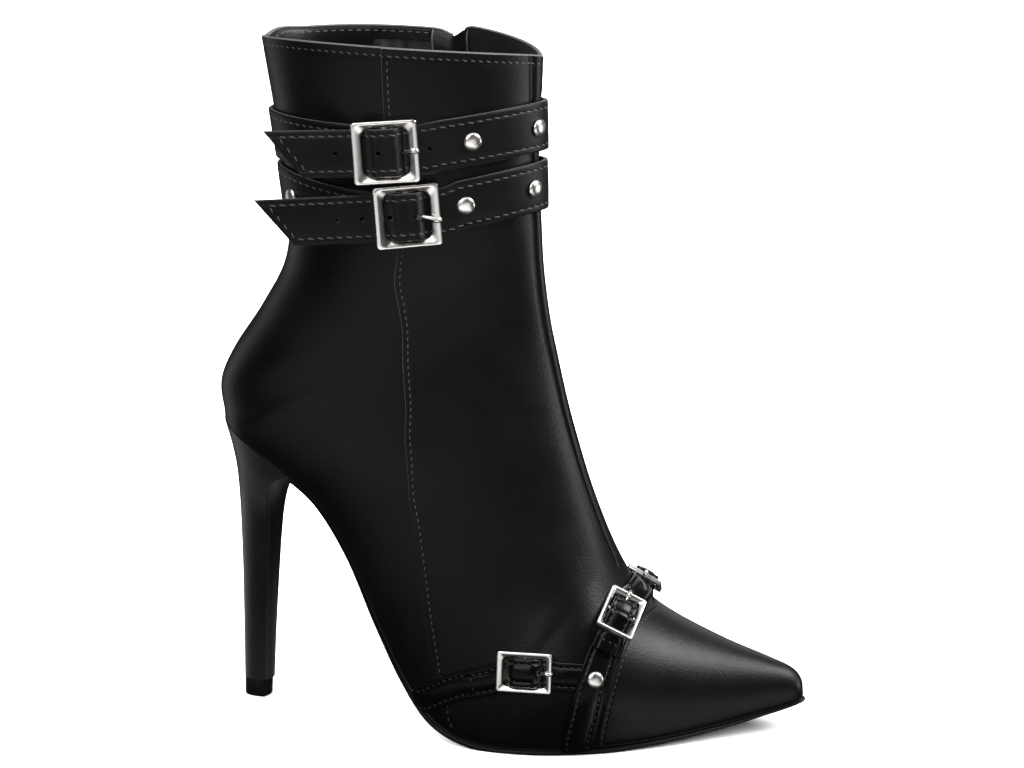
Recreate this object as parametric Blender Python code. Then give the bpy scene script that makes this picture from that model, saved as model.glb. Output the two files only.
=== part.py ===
"""Pointed stiletto boot, right foot, with two ankle belts, a vamp strap, a side strap and an inner-side zip.

The wall is lofted through fanned sections of the last. Tables are in millimetres in the heel-tip frame:
X towards the toe, -Y towards the outer (lateral) side, Z up, zero at the middle of the heel tip.
"""
import math

import bmesh
import bpy
import numpy as np

MM = 0.001

# Driving sizes of the boot, and the same sizes of the sample last that the tables below describe.
BOOT_LENGTH = 225.2
BOOT_HEIGHT = 262.0
BALL_WIDTH = 74.6
SAMPLE_LENGTH = 225.2
SAMPLE_HEIGHT = 262.0
SAMPLE_BALL_WIDTH = 74.6
WALL = 1.8
PIECE_GAP = 0.3
CENTRE_X = 101.7
CENTRE_Y = -5.85

# Outsole, insole and toe panel.
SOLE_LIP = 0.9
TOE_LIP = 0.5
INSOLE_THICKNESS = 1.2
INSOLE_SIDE_GAP = 0.45
INSOLE_CUP = 1.5
INSOLE_CUP_ROWS = 2.5
TOE_PANEL_STEP = 0.5
TOE_PANEL_ROW = 5.95
TOE_PANEL_EDGE = 0.03
TOE_WALL_ROWS = 5
TOE_WALL_SHARE = 0.9
BREAST_ROW = 13.8
HEEL_BACK_ROW = 17
TOP_PIECE_HEIGHT = 6.7

# Zip on the inner side.
ZIP_COLLAR_X = 75.0
ZIP_LEAN = 0.02
ZIP_SLOT_WIDTH = 7.0
ZIP_BOTTOM_ROW = 12.0
ZIP_TOP_ROW = 25.72
ZIP_THICKNESS = 1.4

# Ankle belts.
BELT_WIDTH = 17.4
BELT_THICKNESS = 1.6
BELT_LIFT = 0.5
BELT_BUCKLE_LENGTH = 23.6
BELT_BUCKLE_WIDTH = 22.4
BELT_BUCKLE_BAR = 2.7
BELT_BUCKLE_RAIL = 2.2
BELT_BUCKLE_DEPTH = 2.2
BELT_BUCKLE_TILT = 4.6
BELT_PRONG_RADIUS = 0.9
BELT_PRONG_START = 1.3
BELT_PRONG_INSET = 0.4
BELT_PRONG_RISE = 1.0
BELT_SLOT = (0.9, 9.3, 1.3)
BELT_ZIP_MARGIN = 0.07
TAIL_SLANT = 12.0
TAIL_STEPS = (0.35, 0.7, 1.0)

# Straps through buckles.
BAR_CREST = 1.4
BAR_CLEAR = 0.2
BUCKLE_LEAD = 3.0
BUCKLE_RUN_OUT = 7.0
BUCKLE_RUN_EASE = 6.0
BUCKLE_SIDE_REACH = 20.0
BUCKLE_DEPTH_REACH = 15.0
CENTRE_BAR_SHARE = 0.34
PRONG_BEND = (0.62, 0.8)
PRONG_TIP = 0.6

# Small straps over the forefoot.
SMALL_WIDTH = 10.6
SMALL_THICKNESS = 1.2
SMALL_LIFT = 0.5
SMALL_BUCKLE_LENGTH = 20.4
SMALL_BUCKLE_WIDTH = 15.2
SMALL_BUCKLE_BAR = 2.0
SMALL_BUCKLE_RAIL = 2.0
SMALL_BUCKLE_DEPTH = 1.8
SMALL_BUCKLE_LEAD = 1.8
SMALL_PRONG_RADIUS = 0.65
SMALL_PRONG_START = 1.1
SMALL_PRONG_INSET = 0.3
SMALL_PRONG_RISE = 0.8
SMALL_SLOT = (0.8, 7.9, 1.0)
RIDGE_LIFT = 0.95
SIDE_BAR_DROP = 0.4
HEADING_REACH = 9.0
STRAP_FOOT = 0.895
STRAP_FACING = 0.84
TURN_LIMIT = 0.985
EDGE_MOVES = 4

# Studs.
STUD_DIAMETER = 6.7
STUD_HEIGHT = 2.0
STUD_SEAT = 0.35
STUD_SIDES = 12
STUD_RINGS = ((0.0, 0.92), (0.225, 1.0), (0.625, 0.84), (0.9, 0.5))

# Zip slider and pull, as cell edges across the zip, along it and outwards.
SLIDER_ROW = 25.3
SLIDER_ACROSS = (-3.1, -0.8, 0.8, 3.1)
SLIDER_ALONG = (-4.6, -3.0, -2.1, 2.1, 3.0, 4.6)
SLIDER_OUT = (0.3, 1.7, 3.3, 4.3)
PULL_ACROSS = (-2.1, -1.1, 1.1, 2.1)
PULL_ALONG = (-19.0, -3.7, -0.5, 0.5)
PULL_OUT = (-0.5, 0.5)

# One row for each section of the last, from the toe tip to the collar. back_ is the sole line and then the back seam,
# front_ is the ridge of the toe, instep and shin.
SECTION_COLUMNS = (
    "back_x", "back_z", "front_x", "front_z", "widest_at", "wide_lat", "wide_med", "feather_lat", "feather_med",
    "mid_back", "mid_front", "ridge_power", "back_power", "rise_lat", "rise_med",
)
SECTIONS = (
    (213.6, 12.7, 213.8, 13.3, 0.40, 0.0, 0.0, 0.0, 0.0, 9.0, 9.0, 2.00, 2.0, 0.0, 0.0),
    (212.4, 12.2, 212.6, 20.4, 0.40, 3.5, 3.3, 2.9, 2.8, 8.9, 8.9, 2.00, 2.0, 0.0, 0.0),
    (208.4, 11.1, 208.4, 24.8, 0.40, 6.2, 5.8, 5.2, 5.0, 8.7, 8.6, 2.00, 2.0, 0.0, 0.0),
    (199.4, 9.1, 199.0, 28.2, 0.38, 10.9, 10.1, 9.5, 8.9, 8.0, 7.9, 2.00, 2.0, 0.0, 0.0),
    (184.0, 6.4, 182.5, 34.0, 0.36, 18.6, 16.6, 16.8, 15.0, 6.0, 6.2, 2.00, 2.0, 0.0, 0.0),
    (164.0, 4.2, 164.0, 42.4, 0.34, 28.4, 24.2, 26.6, 22.4, 3.2, 4.4, 2.00, 2.0, 0.0, 0.0),
    (143.0, 3.2, 153.0, 50.0, 0.32, 36.8, 30.2, 34.8, 28.2, 0.6, 3.2, 2.00, 2.1, 0.0, 0.0),
    (121.0, 3.1, 146.5, 59.2, 0.30, 41.4, 33.2, 39.6, 31.0, -1.2, 2.0, 2.00, 2.1, 0.0, 0.0),
    (99.0, 3.2, 141.4, 70.0, 0.30, 41.0, 32.2, 39.0, 29.2, -1.8, 1.0, 2.00, 2.1, 0.0, 0.0),
    (81.6, 7.6, 136.8, 82.0, 0.31, 37.0, 30.0, 34.2, 23.8, -1.4, 0.4, 1.95, 2.0, 0.0, 0.0),
    (68.8, 20.0, 132.2, 95.0, 0.34, 33.8, 29.6, 28.6, 19.6, -0.8, 0.0, 1.95, 2.0, 0.0, 0.0),
    (56.4, 41.6, 128.0, 108.8, 0.36, 32.2, 30.0, 24.6, 17.8, -0.4, 0.0, 1.90, 2.0, 0.0, 0.0),
    (44.8, 66.0, 124.4, 121.8, 0.36, 31.6, 30.4, 22.4, 18.0, 0.0, 0.0, 1.90, 2.0, 0.0, 0.0),
    (32.2, 85.6, 121.6, 133.4, 0.36, 31.4, 30.6, 21.6, 19.6, 0.0, 0.0, 1.90, 2.0, 0.0, 0.0),
    (17.4, 97.6, 119.4, 143.2, 0.36, 31.2, 30.8, 20.8, 20.4, 0.0, 0.0, 1.90, 2.0, 0.0, 0.0),
    (2.2, 106.8, 117.6, 152.0, 0.37, 31.0, 30.8, 17.0, 17.0, 0.0, 0.0, 1.85, 2.0, 0.0, 0.0),
    (-7.4, 112.4, 116.2, 160.0, 0.38, 31.0, 30.8, 9.4, 9.4, 0.0, 0.0, 1.85, 2.0, 0.0, 0.0),
    (-10.4, 116.2, 115.2, 167.6, 0.39, 31.0, 30.8, 0.0, 0.0, 0.0, 0.0, 1.85, 2.0, 0.0, 0.0),
    (-11.2, 122.6, 114.4, 175.2, 0.40, 31.0, 30.8, 0.0, 0.0, 0.0, 0.0, 1.85, 2.0, 0.0, 0.0),
    (-10.0, 131.0, 113.8, 182.6, 0.41, 31.0, 30.8, 0.0, 0.0, 0.0, 0.0, 1.85, 2.0, 0.0, 0.0),
    (-4.4, 142.6, 113.4, 190.4, 0.43, 30.8, 30.6, 0.0, 0.0, 0.0, 0.0, 1.85, 2.0, 0.0, 0.0),
    (6.2, 158.5, 113.1, 198.6, 0.45, 30.6, 30.4, 0.0, 0.0, 0.0, 0.0, 1.80, 2.0, 0.0, 0.0),
    (15.0, 174.4, 113.0, 207.4, 0.47, 30.6, 30.4, 0.0, 0.0, 0.0, 0.0, 1.80, 2.0, 0.0, 0.0),
    (17.4, 190.6, 113.0, 216.6, 0.48, 31.0, 30.6, 0.0, 0.0, 0.0, 0.0, 1.75, 2.0, 0.0, 0.0),
    (15.8, 208.0, 113.0, 226.2, 0.49, 31.8, 31.4, 0.0, 0.0, 0.0, 0.0, 1.75, 2.0, 0.0, 0.0),
    (12.8, 230.0, 113.2, 238.4, 0.50, 33.4, 32.8, 0.0, 0.0, 0.0, 0.0, 1.70, 2.0, 1.2, 1.4),
    (8.2, 258.8, 113.7, 253.5, 0.50, 35.6, 34.6, 0.0, 0.0, 0.0, 0.0, 1.65, 2.0, 3.2, 3.5),
)
COLUMN = {name: index for index, name in enumerate(SECTION_COLUMNS)}
LAST_ROW = len(SECTIONS) - 1

# Sole: section row and thickness. Its edge: share of the thickness, set-in from the lip, least height.
SOLE_ROWS = ((0, 1.2), (3, 1.7), (5, 2.6), (6, 3.2), (8, 3.2), (10, 2.2), (12, 1.4), (13.8, 1.0))
SOLE_EDGE = ((1.0, 0.6, 0.0), (0.55, 0.0, 0.3), (0.0, 0.2, 0.6))
SOLE_TIP_ROW = 0.12

# Heel levels from the top piece up: height at back and breast, back, side-edge and breast positions, half width.
HEEL_COLUMNS = ("back_z", "breast_z", "back_x", "edge_x", "breast_x", "half_width", "power")
HEEL_LEVELS = (
    (7.0, 7.0, -5.3, 3.8, 6.4, 5.3, 2.5),
    (30.0, 30.0, -5.1, 5.1, 7.7, 6.0, 2.4),
    (52.0, 51.0, -5.0, 6.6, 9.2, 6.8, 2.3),
    (68.0, 65.0, -5.2, 7.6, 10.3, 7.8, 2.2),
    (82.0, 76.0, -5.8, 8.0, 11.5, 10.0, 2.1),
    (94.0, 83.5, -7.0, 9.2, 13.0, 14.0, 2.1),
    (104.0, 89.5, -8.8, 12.6, 15.8, 18.0, 2.1),
)
TOP_PIECE_LEVELS = (
    (0.0, 0.0, -5.3, 3.4, 5.2, 4.9, 2.5),
    (TOP_PIECE_HEIGHT, TOP_PIECE_HEIGHT, -5.3, 3.6, 5.6, 5.1, 2.5),
)
BREAST_SHARES = (0.6, 0.2, -0.2, -0.6)

# Small straps as (section row, place round the section) from end to end; 0 is the ridge, 1 the outer feather line.
VAMP_LATERAL_PATH = ((6.38, 0.89), (6.42, 0.55), (6.54, 0.40), (6.63, 0.295), (6.68, 0.19), (6.67, 0.168))
VAMP_BRIDGE_PATH = ((6.61, 0.32), (6.64, 0.28), (6.68, 0.19), (6.54, 0.0), (6.60, -0.19), (6.53, -0.28), (6.50, -0.32))
VAMP_MEDIAL_PATH = ((6.36, -0.89), (6.38, -0.55), (6.44, -0.40), (6.52, -0.295), (6.60, -0.19), (6.59, -0.168))
SIDE_REAR_PATH = ((9.60, 0.86), (9.33, 0.70), (8.80, 0.535), (8.05, 0.44), (7.85, 0.43))
SIDE_FRONT_PATH = ((6.98, 0.404), (7.32, 0.412), (8.05, 0.44), (8.80, 0.535), (8.98, 0.58))
VAMP_BUCKLES = {"lateral": (6.68, 0.19), "medial": (6.60, -0.19)}
VAMP_STUDS = {"lateral": (6.50, 0.40), "medial": (6.44, -0.40)}
SIDE_BUCKLE = (8.05, 0.44)

# Ankle belts: centre heights, buckle place round the section, tail length, studs round the section.
BELT_COLUMNS = ("name", "front_z", "side_z", "back_z", "buckle_at", "tail", "studs")
BELTS = (
    ("upper_belt", 228.2, 222.4, 224.4, 0.50, 48.0, (("side", 0.297), ("front", 0.086))),
    ("lower_belt", 205.6, 198.2, 204.2, 0.453, 58.0, (("side", 0.313), ("front", 0.10), ("rear", 0.805))),
)


def size_scale(column):
    """Share by which a table column grows with the driving sizes."""
    if column.endswith("power") or column == "widest_at":
        return 1.0
    if column.endswith("_x"):
        return BOOT_LENGTH / SAMPLE_LENGTH
    if column.endswith("_z") or column.startswith("rise"):
        return BOOT_HEIGHT / SAMPLE_HEIGHT
    return BALL_WIDTH / SAMPLE_BALL_WIDTH


SECTION_TABLE = np.array(SECTIONS) * np.array([size_scale(column) for column in SECTION_COLUMNS])


def clear_scene():
    for old in list(bpy.data.objects):
        bpy.data.objects.remove(old, do_unlink=True)


def section_values(row):
    """Smooth cubic through the section table; row may be an array."""
    table = SECTION_TABLE
    row = np.asarray(row, float)
    low = np.clip(np.floor(row).astype(int), 0, LAST_ROW - 1)
    part = (row - low)[..., None]
    before = table[np.clip(low - 1, 0, LAST_ROW)]
    here = table[low]
    after = table[low + 1]
    beyond = table[np.clip(low + 2, 0, LAST_ROW)]
    slope_here = (after - before) / 2
    slope_after = (beyond - here) / 2
    value = (2 * part**3 - 3 * part**2 + 1) * here
    value = value + (part**3 - 2 * part**2 + part) * slope_here
    value = value + (3 * part**2 - 2 * part**3) * after
    value = value + (part**3 - part**2) * slope_after
    return value


def skin(row, around, inset=0.0, feather_inset=0.0):
    """Point of the wall: around runs 0 at the ridge to +1 lateral or -1 medial; inset moves it inwards."""
    row = np.asarray(row, float)
    around = np.asarray(around, float)
    row, around = np.broadcast_arrays(row, around)
    value = section_values(row)

    def get(name):
        return value[..., COLUMN[name]]

    lateral = around > 0
    angle = math.pi * np.abs(around)
    cosine = np.abs(np.cos(angle))
    sine = np.abs(np.sin(angle))
    front = angle <= math.pi / 2
    wide = np.maximum(np.where(lateral, get("wide_lat"), get("wide_med")), 0) - inset
    wide = np.maximum(wide, 0)
    feather = np.maximum(np.where(lateral, get("feather_lat"), get("feather_med")), 0)
    feather = np.maximum(feather - feather_inset, np.minimum(feather, 0.2))
    rise = np.where(lateral, get("rise_lat"), get("rise_med")) * sine
    span_x = get("front_x") - get("back_x")
    span_z = get("front_z") - get("back_z")
    length = np.hypot(span_x, span_z)
    low = max(inset, 0.0)
    middle = get("widest_at") * length
    top = length - inset
    back_curve = cosine ** (2 / get("back_power"))
    along = np.where(front, middle + (top - middle) * cosine, low + (middle - low) * (1 - back_curve))
    half_front = wide * sine ** (2 / get("ridge_power"))
    half_back = feather + (wide - feather) * sine ** (2 / get("back_power"))
    half = np.where(front, half_front, half_back)
    share = along / length
    x = get("back_x") + span_x * share
    y = get("mid_back") + (get("mid_front") - get("mid_back")) * share - np.sign(around) * half
    z = get("back_z") + span_z * share + rise
    return np.stack([x, y, z], axis=-1)


def unit(vector):
    return vector / np.linalg.norm(vector, axis=-1, keepdims=True)


def skin_normal(row, around, step=0.004):
    """Outward direction of the wall."""
    row = np.asarray(row, float)
    around = np.asarray(around, float)
    along = skin(np.minimum(row + step, LAST_ROW), around) - skin(row - step, around)
    sign = np.where(around < 0, -1.0, 1.0)
    clear = np.where(np.abs(around) < 2 * step, 2 * step * sign, around)
    across = skin(row, np.clip(clear + step, -1, 1)) - skin(row, np.clip(clear - step, -1, 1))
    normal = unit(np.cross(along, across))
    value = section_values(row)
    middle = np.stack([
        (value[..., 0] + value[..., 2]) / 2,
        (value[..., 9] + value[..., 10]) / 2,
        (value[..., 1] + value[..., 3]) / 2,
    ], axis=-1)
    facing = np.sum(normal * (skin(row, around) - middle), axis=-1, keepdims=True)
    return normal * np.sign(facing)


def wrap(around):
    """Brings a place past the back seam round to the other side."""
    around = np.asarray(around, float)
    return np.where(around > 1, around - 2, np.where(around < -1, around + 2, around))


def material(name, colour, roughness, metallic):
    made = bpy.data.materials.new(name)
    made.use_nodes = True
    shader = made.node_tree.nodes["Principled BSDF"]
    shader.inputs["Base Color"].default_value = (*colour, 1.0)
    shader.inputs["Roughness"].default_value = roughness
    shader.inputs["Metallic"].default_value = metallic
    made.diffuse_color = (*colour, 1.0)
    return made


def add_piece(name, points, faces, look):
    """Makes one closed, triangulated object from millimetre points in the heel-tip frame."""
    mesh = bpy.data.meshes.new(name)
    shifted = (np.asarray(points, float) - np.array([CENTRE_X, CENTRE_Y, 0.0])) * MM
    mesh.from_pydata([tuple(p) for p in shifted], [], faces)
    work = bmesh.new()
    work.from_mesh(mesh)
    bmesh.ops.triangulate(work, faces=work.faces[:])
    bmesh.ops.recalc_face_normals(work, faces=work.faces[:])
    work.to_mesh(mesh)
    work.free()
    mesh.materials.append(look)
    piece = bpy.data.objects.new(name, mesh)
    bpy.context.scene.collection.objects.link(piece)
    piece.parent = BOOT
    return piece


def zip_around(row):
    """Place of the zip line round a section, on the inner side."""
    low, high = 0.05, 0.95
    for _ in range(40):
        middle = (low + high) / 2
        point = skin(row, -middle)
        target = ZIP_COLLAR_X + ZIP_LEAN * (BOOT_HEIGHT - point[2])
        if point[0] > target:
            low = middle
        else:
            high = middle
    return (low + high) / 2


def slot_edges(row):
    """Both edges of the zip slot round a section."""
    centre = zip_around(max(row, ZIP_BOTTOM_ROW - 0.3))
    speed = np.linalg.norm(skin(row, -centre - 0.01) - skin(row, -centre + 0.01)) / 0.02
    half = min(ZIP_SLOT_WIDTH / 2 / speed, 0.05)
    return centre - half, centre + half


FRONT_COLUMNS = 7
BACK_COLUMNS = 9
COLUMNS = FRONT_COLUMNS + 1 + BACK_COLUMNS


def column_places(row):
    """Places round a section for the columns, with the zip slot between two of them."""
    near, far = slot_edges(row)
    front = np.linspace(0, near, FRONT_COLUMNS + 1)
    back = np.linspace(far, 1, BACK_COLUMNS + 1)
    return np.concatenate([front, back])


def wall_rows():
    """Section rows of the wall, closer at the toe, at the panel step and on the shaft."""
    toe = [0, 0.4, 1, 1.5, 2, 2.5, 3, 4, 5]
    step = [TOE_PANEL_ROW - TOE_PANEL_EDGE, TOE_PANEL_ROW]
    instep = [6.25, 6.5, 7, 7.5, 8, 8.5, 9, 10, 11, 12, 13, BREAST_ROW, 14, 15, 16, 16.5, 17]
    shaft = [18, 19, 20, 21, 21.5, 22, 22.5, 23, 23.5, 24, 24.5, 25, 25.5, LAST_ROW]
    return toe + step + instep + shaft


def inner_row(row):
    """Row of the inner skin: set back at the toe so that the toe has a wall too."""
    if row >= 3:
        return row
    return row + 1.5 * (1 - row / 3) ** 2


def toe_feather_inset(row):
    return WALL * TOE_WALL_SHARE * max(0.0, 1 - row / TOE_WALL_ROWS)


def build_upper(look):
    rows = wall_rows()
    points = []
    index = {}

    def vertex(shell, i, side, j):
        closed = rows[i] >= HEEL_BACK_ROW
        if i == 0:
            key = (shell, 0, 0, 0)
        elif j == 0:
            key = (shell, i, 0, 0)
        elif j == COLUMNS and closed:
            key = (shell, i, 0, j)
        else:
            key = (shell, i, side, j)
        if key in index:
            return index[key]
        row = rows[i]
        place = column_places(row)[j] * side
        if shell == "outer":
            lift = TOE_PANEL_STEP if row < TOE_PANEL_ROW else 0.0
            lift = lift * min(1.0, row / 2)
            point = skin(row, place, -lift)
        elif i == 0:
            first = [skin(inner_row(rows[1]), turn, WALL, toe_feather_inset(rows[1])) for turn in (1.0, -1.0)]
            point = (first[0] + first[1]) / 2
        else:
            point = skin(inner_row(row), place, WALL, toe_feather_inset(row))
        index[key] = len(points)
        points.append(point)
        return index[key]

    skins = {"outer": [], "inner": []}
    for shell, faces in skins.items():
        for i in range(len(rows) - 1):
            for side in (1, -1):
                for j in range(COLUMNS):
                    slot = side < 0 and j == FRONT_COLUMNS and rows[i] >= ZIP_BOTTOM_ROW
                    if slot:
                        continue
                    loop = [
                        (i, side, j), (i, side, j + 1), (i + 1, side, j + 1), (i + 1, side, j),
                    ]
                    face = []
                    for corner in loop:
                        number = vertex(shell, *corner)
                        if number not in face:
                            face.append(number)
                    faces.append(face)
    count = {}
    for face in skins["outer"]:
        for a, b in zip(face, face[1:] + face[:1]):
            edge = (min(a, b), max(a, b))
            count[edge] = count.get(edge, 0) + 1
    partner = {}
    for key, number in index.items():
        if key[0] == "outer":
            partner[number] = index[("inner", *key[1:])]
    rims = []
    for (a, b), uses in count.items():
        if uses == 1:
            rims.append([a, b, partner[b], partner[a]])
    return add_piece("upper", points, skins["outer"] + skins["inner"] + rims, look)


def sole_line(row, drop):
    """Point of the sole line moved out of the boot by drop, square to the line."""
    step = 0.01
    ahead = section_values(max(row - step, 0.0))
    behind = section_values(row + step)
    along = np.array([behind[0] - ahead[0], behind[1] - ahead[1]])
    along = along / np.linalg.norm(along)
    out = np.array([-along[1], along[0]])
    if out[1] > 0:
        out = -out
    here = section_values(row)
    return here[0] + out[0] * drop, here[1] + out[1] * drop


def feather(row, side):
    value = section_values(row)
    name = "feather_lat" if side > 0 else "feather_med"
    return max(value[COLUMN[name]], 0.0), value[COLUMN["mid_back"]]


def ruled_solid(name, stations, look):
    """Closed solid from stations of equal point rings, each ring planar; first and last may be points."""
    points = []
    rings = []
    for ring in stations:
        numbers = []
        for point in ring:
            numbers.append(len(points))
            points.append(point)
        rings.append(numbers)
    faces = []
    for first, second in zip(rings, rings[1:]):
        size = len(first)
        for k in range(size):
            faces.append([first[k], first[(k + 1) % size], second[(k + 1) % size], second[k]])
    faces.append(rings[0])
    faces.append(rings[-1])
    return add_piece(name, points, faces, look)


def build_outsole(look):
    rows = [r for r in wall_rows() if 0 < r < BREAST_ROW] + [BREAST_ROW - 0.04]
    rows = [SOLE_TIP_ROW] + rows
    table = np.array(SOLE_ROWS)
    stations = []
    for row in rows:
        thick = np.interp(row, table[:, 0], table[:, 1])
        push = TOE_LIP * max(0.0, 1 - row)
        lip = SOLE_LIP * min(1.0, 0.3 + row)
        ring = []
        for side in (1, -1):
            half, centre = feather(row, side)
            edge = []
            for share, set_in, least in SOLE_EDGE:
                x, z = sole_line(row, PIECE_GAP + thick * share)
                reach = half + lip - set_in * min(1.0, row)
                edge.append((x + push, centre - side * reach, max(z, least)))
            ring += edge if side > 0 else edge[::-1]
        stations.append(ring)
    return ruled_solid("outsole", stations, look)


def build_insole(look):
    rows = [r for r in wall_rows() if 2 <= r <= 16]
    stations = []
    for row in rows:
        low_x, low_z = sole_line(row, -PIECE_GAP)
        top_x, top_z = sole_line(row, -PIECE_GAP - INSOLE_THICKNESS)
        ring = []
        for side in (1, -1):
            half, centre = feather(row, side)
            cup = INSOLE_CUP * min(1.0, max(0.0, row - BREAST_ROW) / INSOLE_CUP_ROWS)
            half = half - toe_feather_inset(row) - INSOLE_SIDE_GAP - cup
            pair = [
                (low_x, centre - side * half, low_z),
                (top_x, centre - side * half, top_z),
            ]
            ring += pair if side > 0 else pair[::-1]
        stations.append(ring)
    return ruled_solid("insole", stations, look)


def heel_ring(level, seat_rows):
    """Outline of the heel at one level: round the back from the outer to the inner edge, then across the breast."""
    value = {column: number * size_scale(column) for column, number in zip(HEEL_COLUMNS, level)}
    ring = []
    count = len(seat_rows) - 1
    for k in range(-count, count + 1):
        turn = math.pi / 2 * k / count
        reach = abs(math.cos(turn)) ** (2 / value["power"])
        width = abs(math.sin(turn)) ** (2 / value["power"])
        x = value["edge_x"] - (value["edge_x"] - value["back_x"]) * reach
        y = math.copysign(value["half_width"] * width, k)
        ring.append((x, y))
    for share in BREAST_SHARES:
        x = value["breast_x"] - (value["breast_x"] - value["edge_x"]) * share**2
        ring.append((x, value["half_width"] * share))
    run = value["breast_x"] - value["back_x"]
    points = []
    for x, y in ring:
        share = (x - value["back_x"]) / run
        points.append((x, y, value["back_z"] + (value["breast_z"] - value["back_z"]) * share))
    return points


def build_heel(look):
    seat_rows = [r for r in wall_rows() if BREAST_ROW <= r <= HEEL_BACK_ROW]
    rings = [heel_ring(level, seat_rows) for level in HEEL_LEVELS]
    top = []
    order = [(row, 1) for row in seat_rows] + [(row, -1) for row in seat_rows[::-1][1:]]
    for row, side in order:
        half, centre = feather(row, side)
        x, z = sole_line(row, PIECE_GAP)
        top.append((x, centre - side * half, z))
    breast_x, breast_z = sole_line(BREAST_ROW, PIECE_GAP)
    half, centre = feather(BREAST_ROW, -1)
    for share in BREAST_SHARES:
        top.append((breast_x, centre + half * share, breast_z))
    rings.append(top)
    points = []
    numbers = []
    for ring in rings:
        numbers.append(list(range(len(points), len(points) + len(ring))))
        points += ring
    faces = []
    for first, second in zip(numbers, numbers[1:]):
        size = len(first)
        for k in range(size):
            faces.append([first[k], first[(k + 1) % size], second[(k + 1) % size], second[k]])
    faces.append(numbers[0])
    seat = numbers[-1]
    last = 2 * len(seat_rows) - 2
    for k in range(len(seat_rows) - 1):
        face = [seat[k], seat[k + 1], seat[last - k - 1], seat[last - k]]
        if k == 0:
            face = [seat[0], seat[1], seat[last - 1], seat[last]] + seat[last + 1:]
        clean = []
        for number in face:
            if number not in clean:
                clean.append(number)
        faces.append(clean)
    return add_piece("heel", points, faces, look)


def build_top_piece(look):
    seat_rows = [r for r in wall_rows() if BREAST_ROW <= r <= HEEL_BACK_ROW]
    return ruled_solid("heel_top_piece", [heel_ring(level, seat_rows) for level in TOP_PIECE_LEVELS], look)


def build_zip(look):
    rows = [ZIP_BOTTOM_ROW + 0.03] + [r for r in wall_rows() if ZIP_BOTTOM_ROW < r < ZIP_TOP_ROW] + [ZIP_TOP_ROW]
    stations = []
    for row in rows:
        near, far = slot_edges(row)
        trim = (far - near) * 0.4 / ZIP_SLOT_WIDTH
        places = np.array([near + trim, (near + far) / 2, far - trim])
        ring = [skin(row, -p, 0.2) for p in places] + [skin(row, -p, 0.2 + ZIP_THICKNESS) for p in places[::-1]]
        stations.append(ring)
    return ruled_solid("zip_strip", stations, look)


def strap_frames(rows, arounds):
    """Centre points, directions along and across, and outward directions of a strap path on the wall."""
    centre = skin(rows, arounds)
    normal = skin_normal(rows, arounds)
    along = unit(np.gradient(centre, axis=0))
    across = unit(np.cross(normal, along))
    return centre, along, across, normal


def strap_edges(rows, arounds, across, offset):
    """Points of the wall that lie offset across the strap from its centre line, reached in short steps."""
    step = 0.01
    for _ in range(EDGE_MOVES if offset else 0):
        clear = np.clip(arounds, -TURN_LIMIT, TURN_LIMIT)
        by_row = (skin(rows + step, arounds) - skin(rows - step, arounds)) / (2 * step)
        by_turn = (skin(rows, clear + step) - skin(rows, clear - step)) / (2 * step)
        target = across * offset / EDGE_MOVES
        a = np.sum(by_row * by_row, axis=-1)
        b = np.sum(by_row * by_turn, axis=-1)
        c = np.sum(by_turn * by_turn, axis=-1)
        p = np.sum(by_row * target, axis=-1)
        q = np.sum(by_turn * target, axis=-1)
        det = a * c - b * b
        rows = rows + (c * p - b * q) / det
        arounds = arounds + (a * q - b * p) / det
        on_foot = rows < HEEL_BACK_ROW - 0.1
        arounds = np.where(on_foot, np.clip(arounds, -STRAP_FOOT, STRAP_FOOT), wrap(arounds))
    on_foot = rows < HEEL_BACK_ROW - 0.1
    facing = np.where(on_foot, np.clip(arounds, -STRAP_FACING, STRAP_FACING), arounds)
    return skin(rows, arounds), skin_normal(rows, facing)


def straighten(points, frame, half, offset, centre):
    """Pulls strap points that pass through a buckle on to a straight, square run along the buckle."""
    origin, along, across, out = frame
    local = points - origin
    a = local @ along
    c = local @ across
    n = local @ out
    near = np.clip((half + BUCKLE_RUN_OUT - np.abs(a)) / BUCKLE_RUN_EASE, 0, 1)
    near = near * (np.abs(c) < BUCKLE_SIDE_REACH) * (np.abs(n) < BUCKLE_DEPTH_REACH)
    mix = near * near * (3 - 2 * near)
    lead = (centre - origin) @ along
    return points + (mix * (offset - c))[:, None] * across + (mix * (lead - a))[:, None] * along


def strap_solid(name, rows, arounds, lift, width, thickness, look, tail=None, buckles=()):
    """Strap lying on the wall. lift is the height of its inner face; tail adds a straight free end at the finish."""
    centre, along, across, normal = strap_frames(rows, arounds)
    stations = []
    sides = []
    for offset in (-0.5, 0.0, 0.5):
        base, out = strap_edges(rows, arounds, across, offset * width)
        faces = [base + out * lift[:, None], base + out * (lift + thickness)[:, None]]
        for frame, half in buckles:
            close = int(np.argmin(np.linalg.norm(centre - frame[0], axis=-1)))
            side = np.sign(np.dot(across[close], frame[2]))
            faces = [straighten(face, frame, half, side * offset * width, centre) for face in faces]
        sides.append(faces)
    for k in range(len(rows)):
        ring = [sides[i][0][k] for i in range(3)] + [sides[i][1][k] for i in (2, 1, 0)]
        stations.append(ring)
    if tail:
        length, slant = tail
        last = np.array(stations[-1])
        heading = unit(centre[-1] - centre[-3])
        high = last[:, 2] - last[:, 2].min()
        high = high / high.max()
        for share in TAIL_STEPS:
            reach = length - slant * (1 - high)
            stations.append(last + heading[None, :] * (reach * share)[:, None])
    return ruled_solid(name, stations, look)


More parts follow.
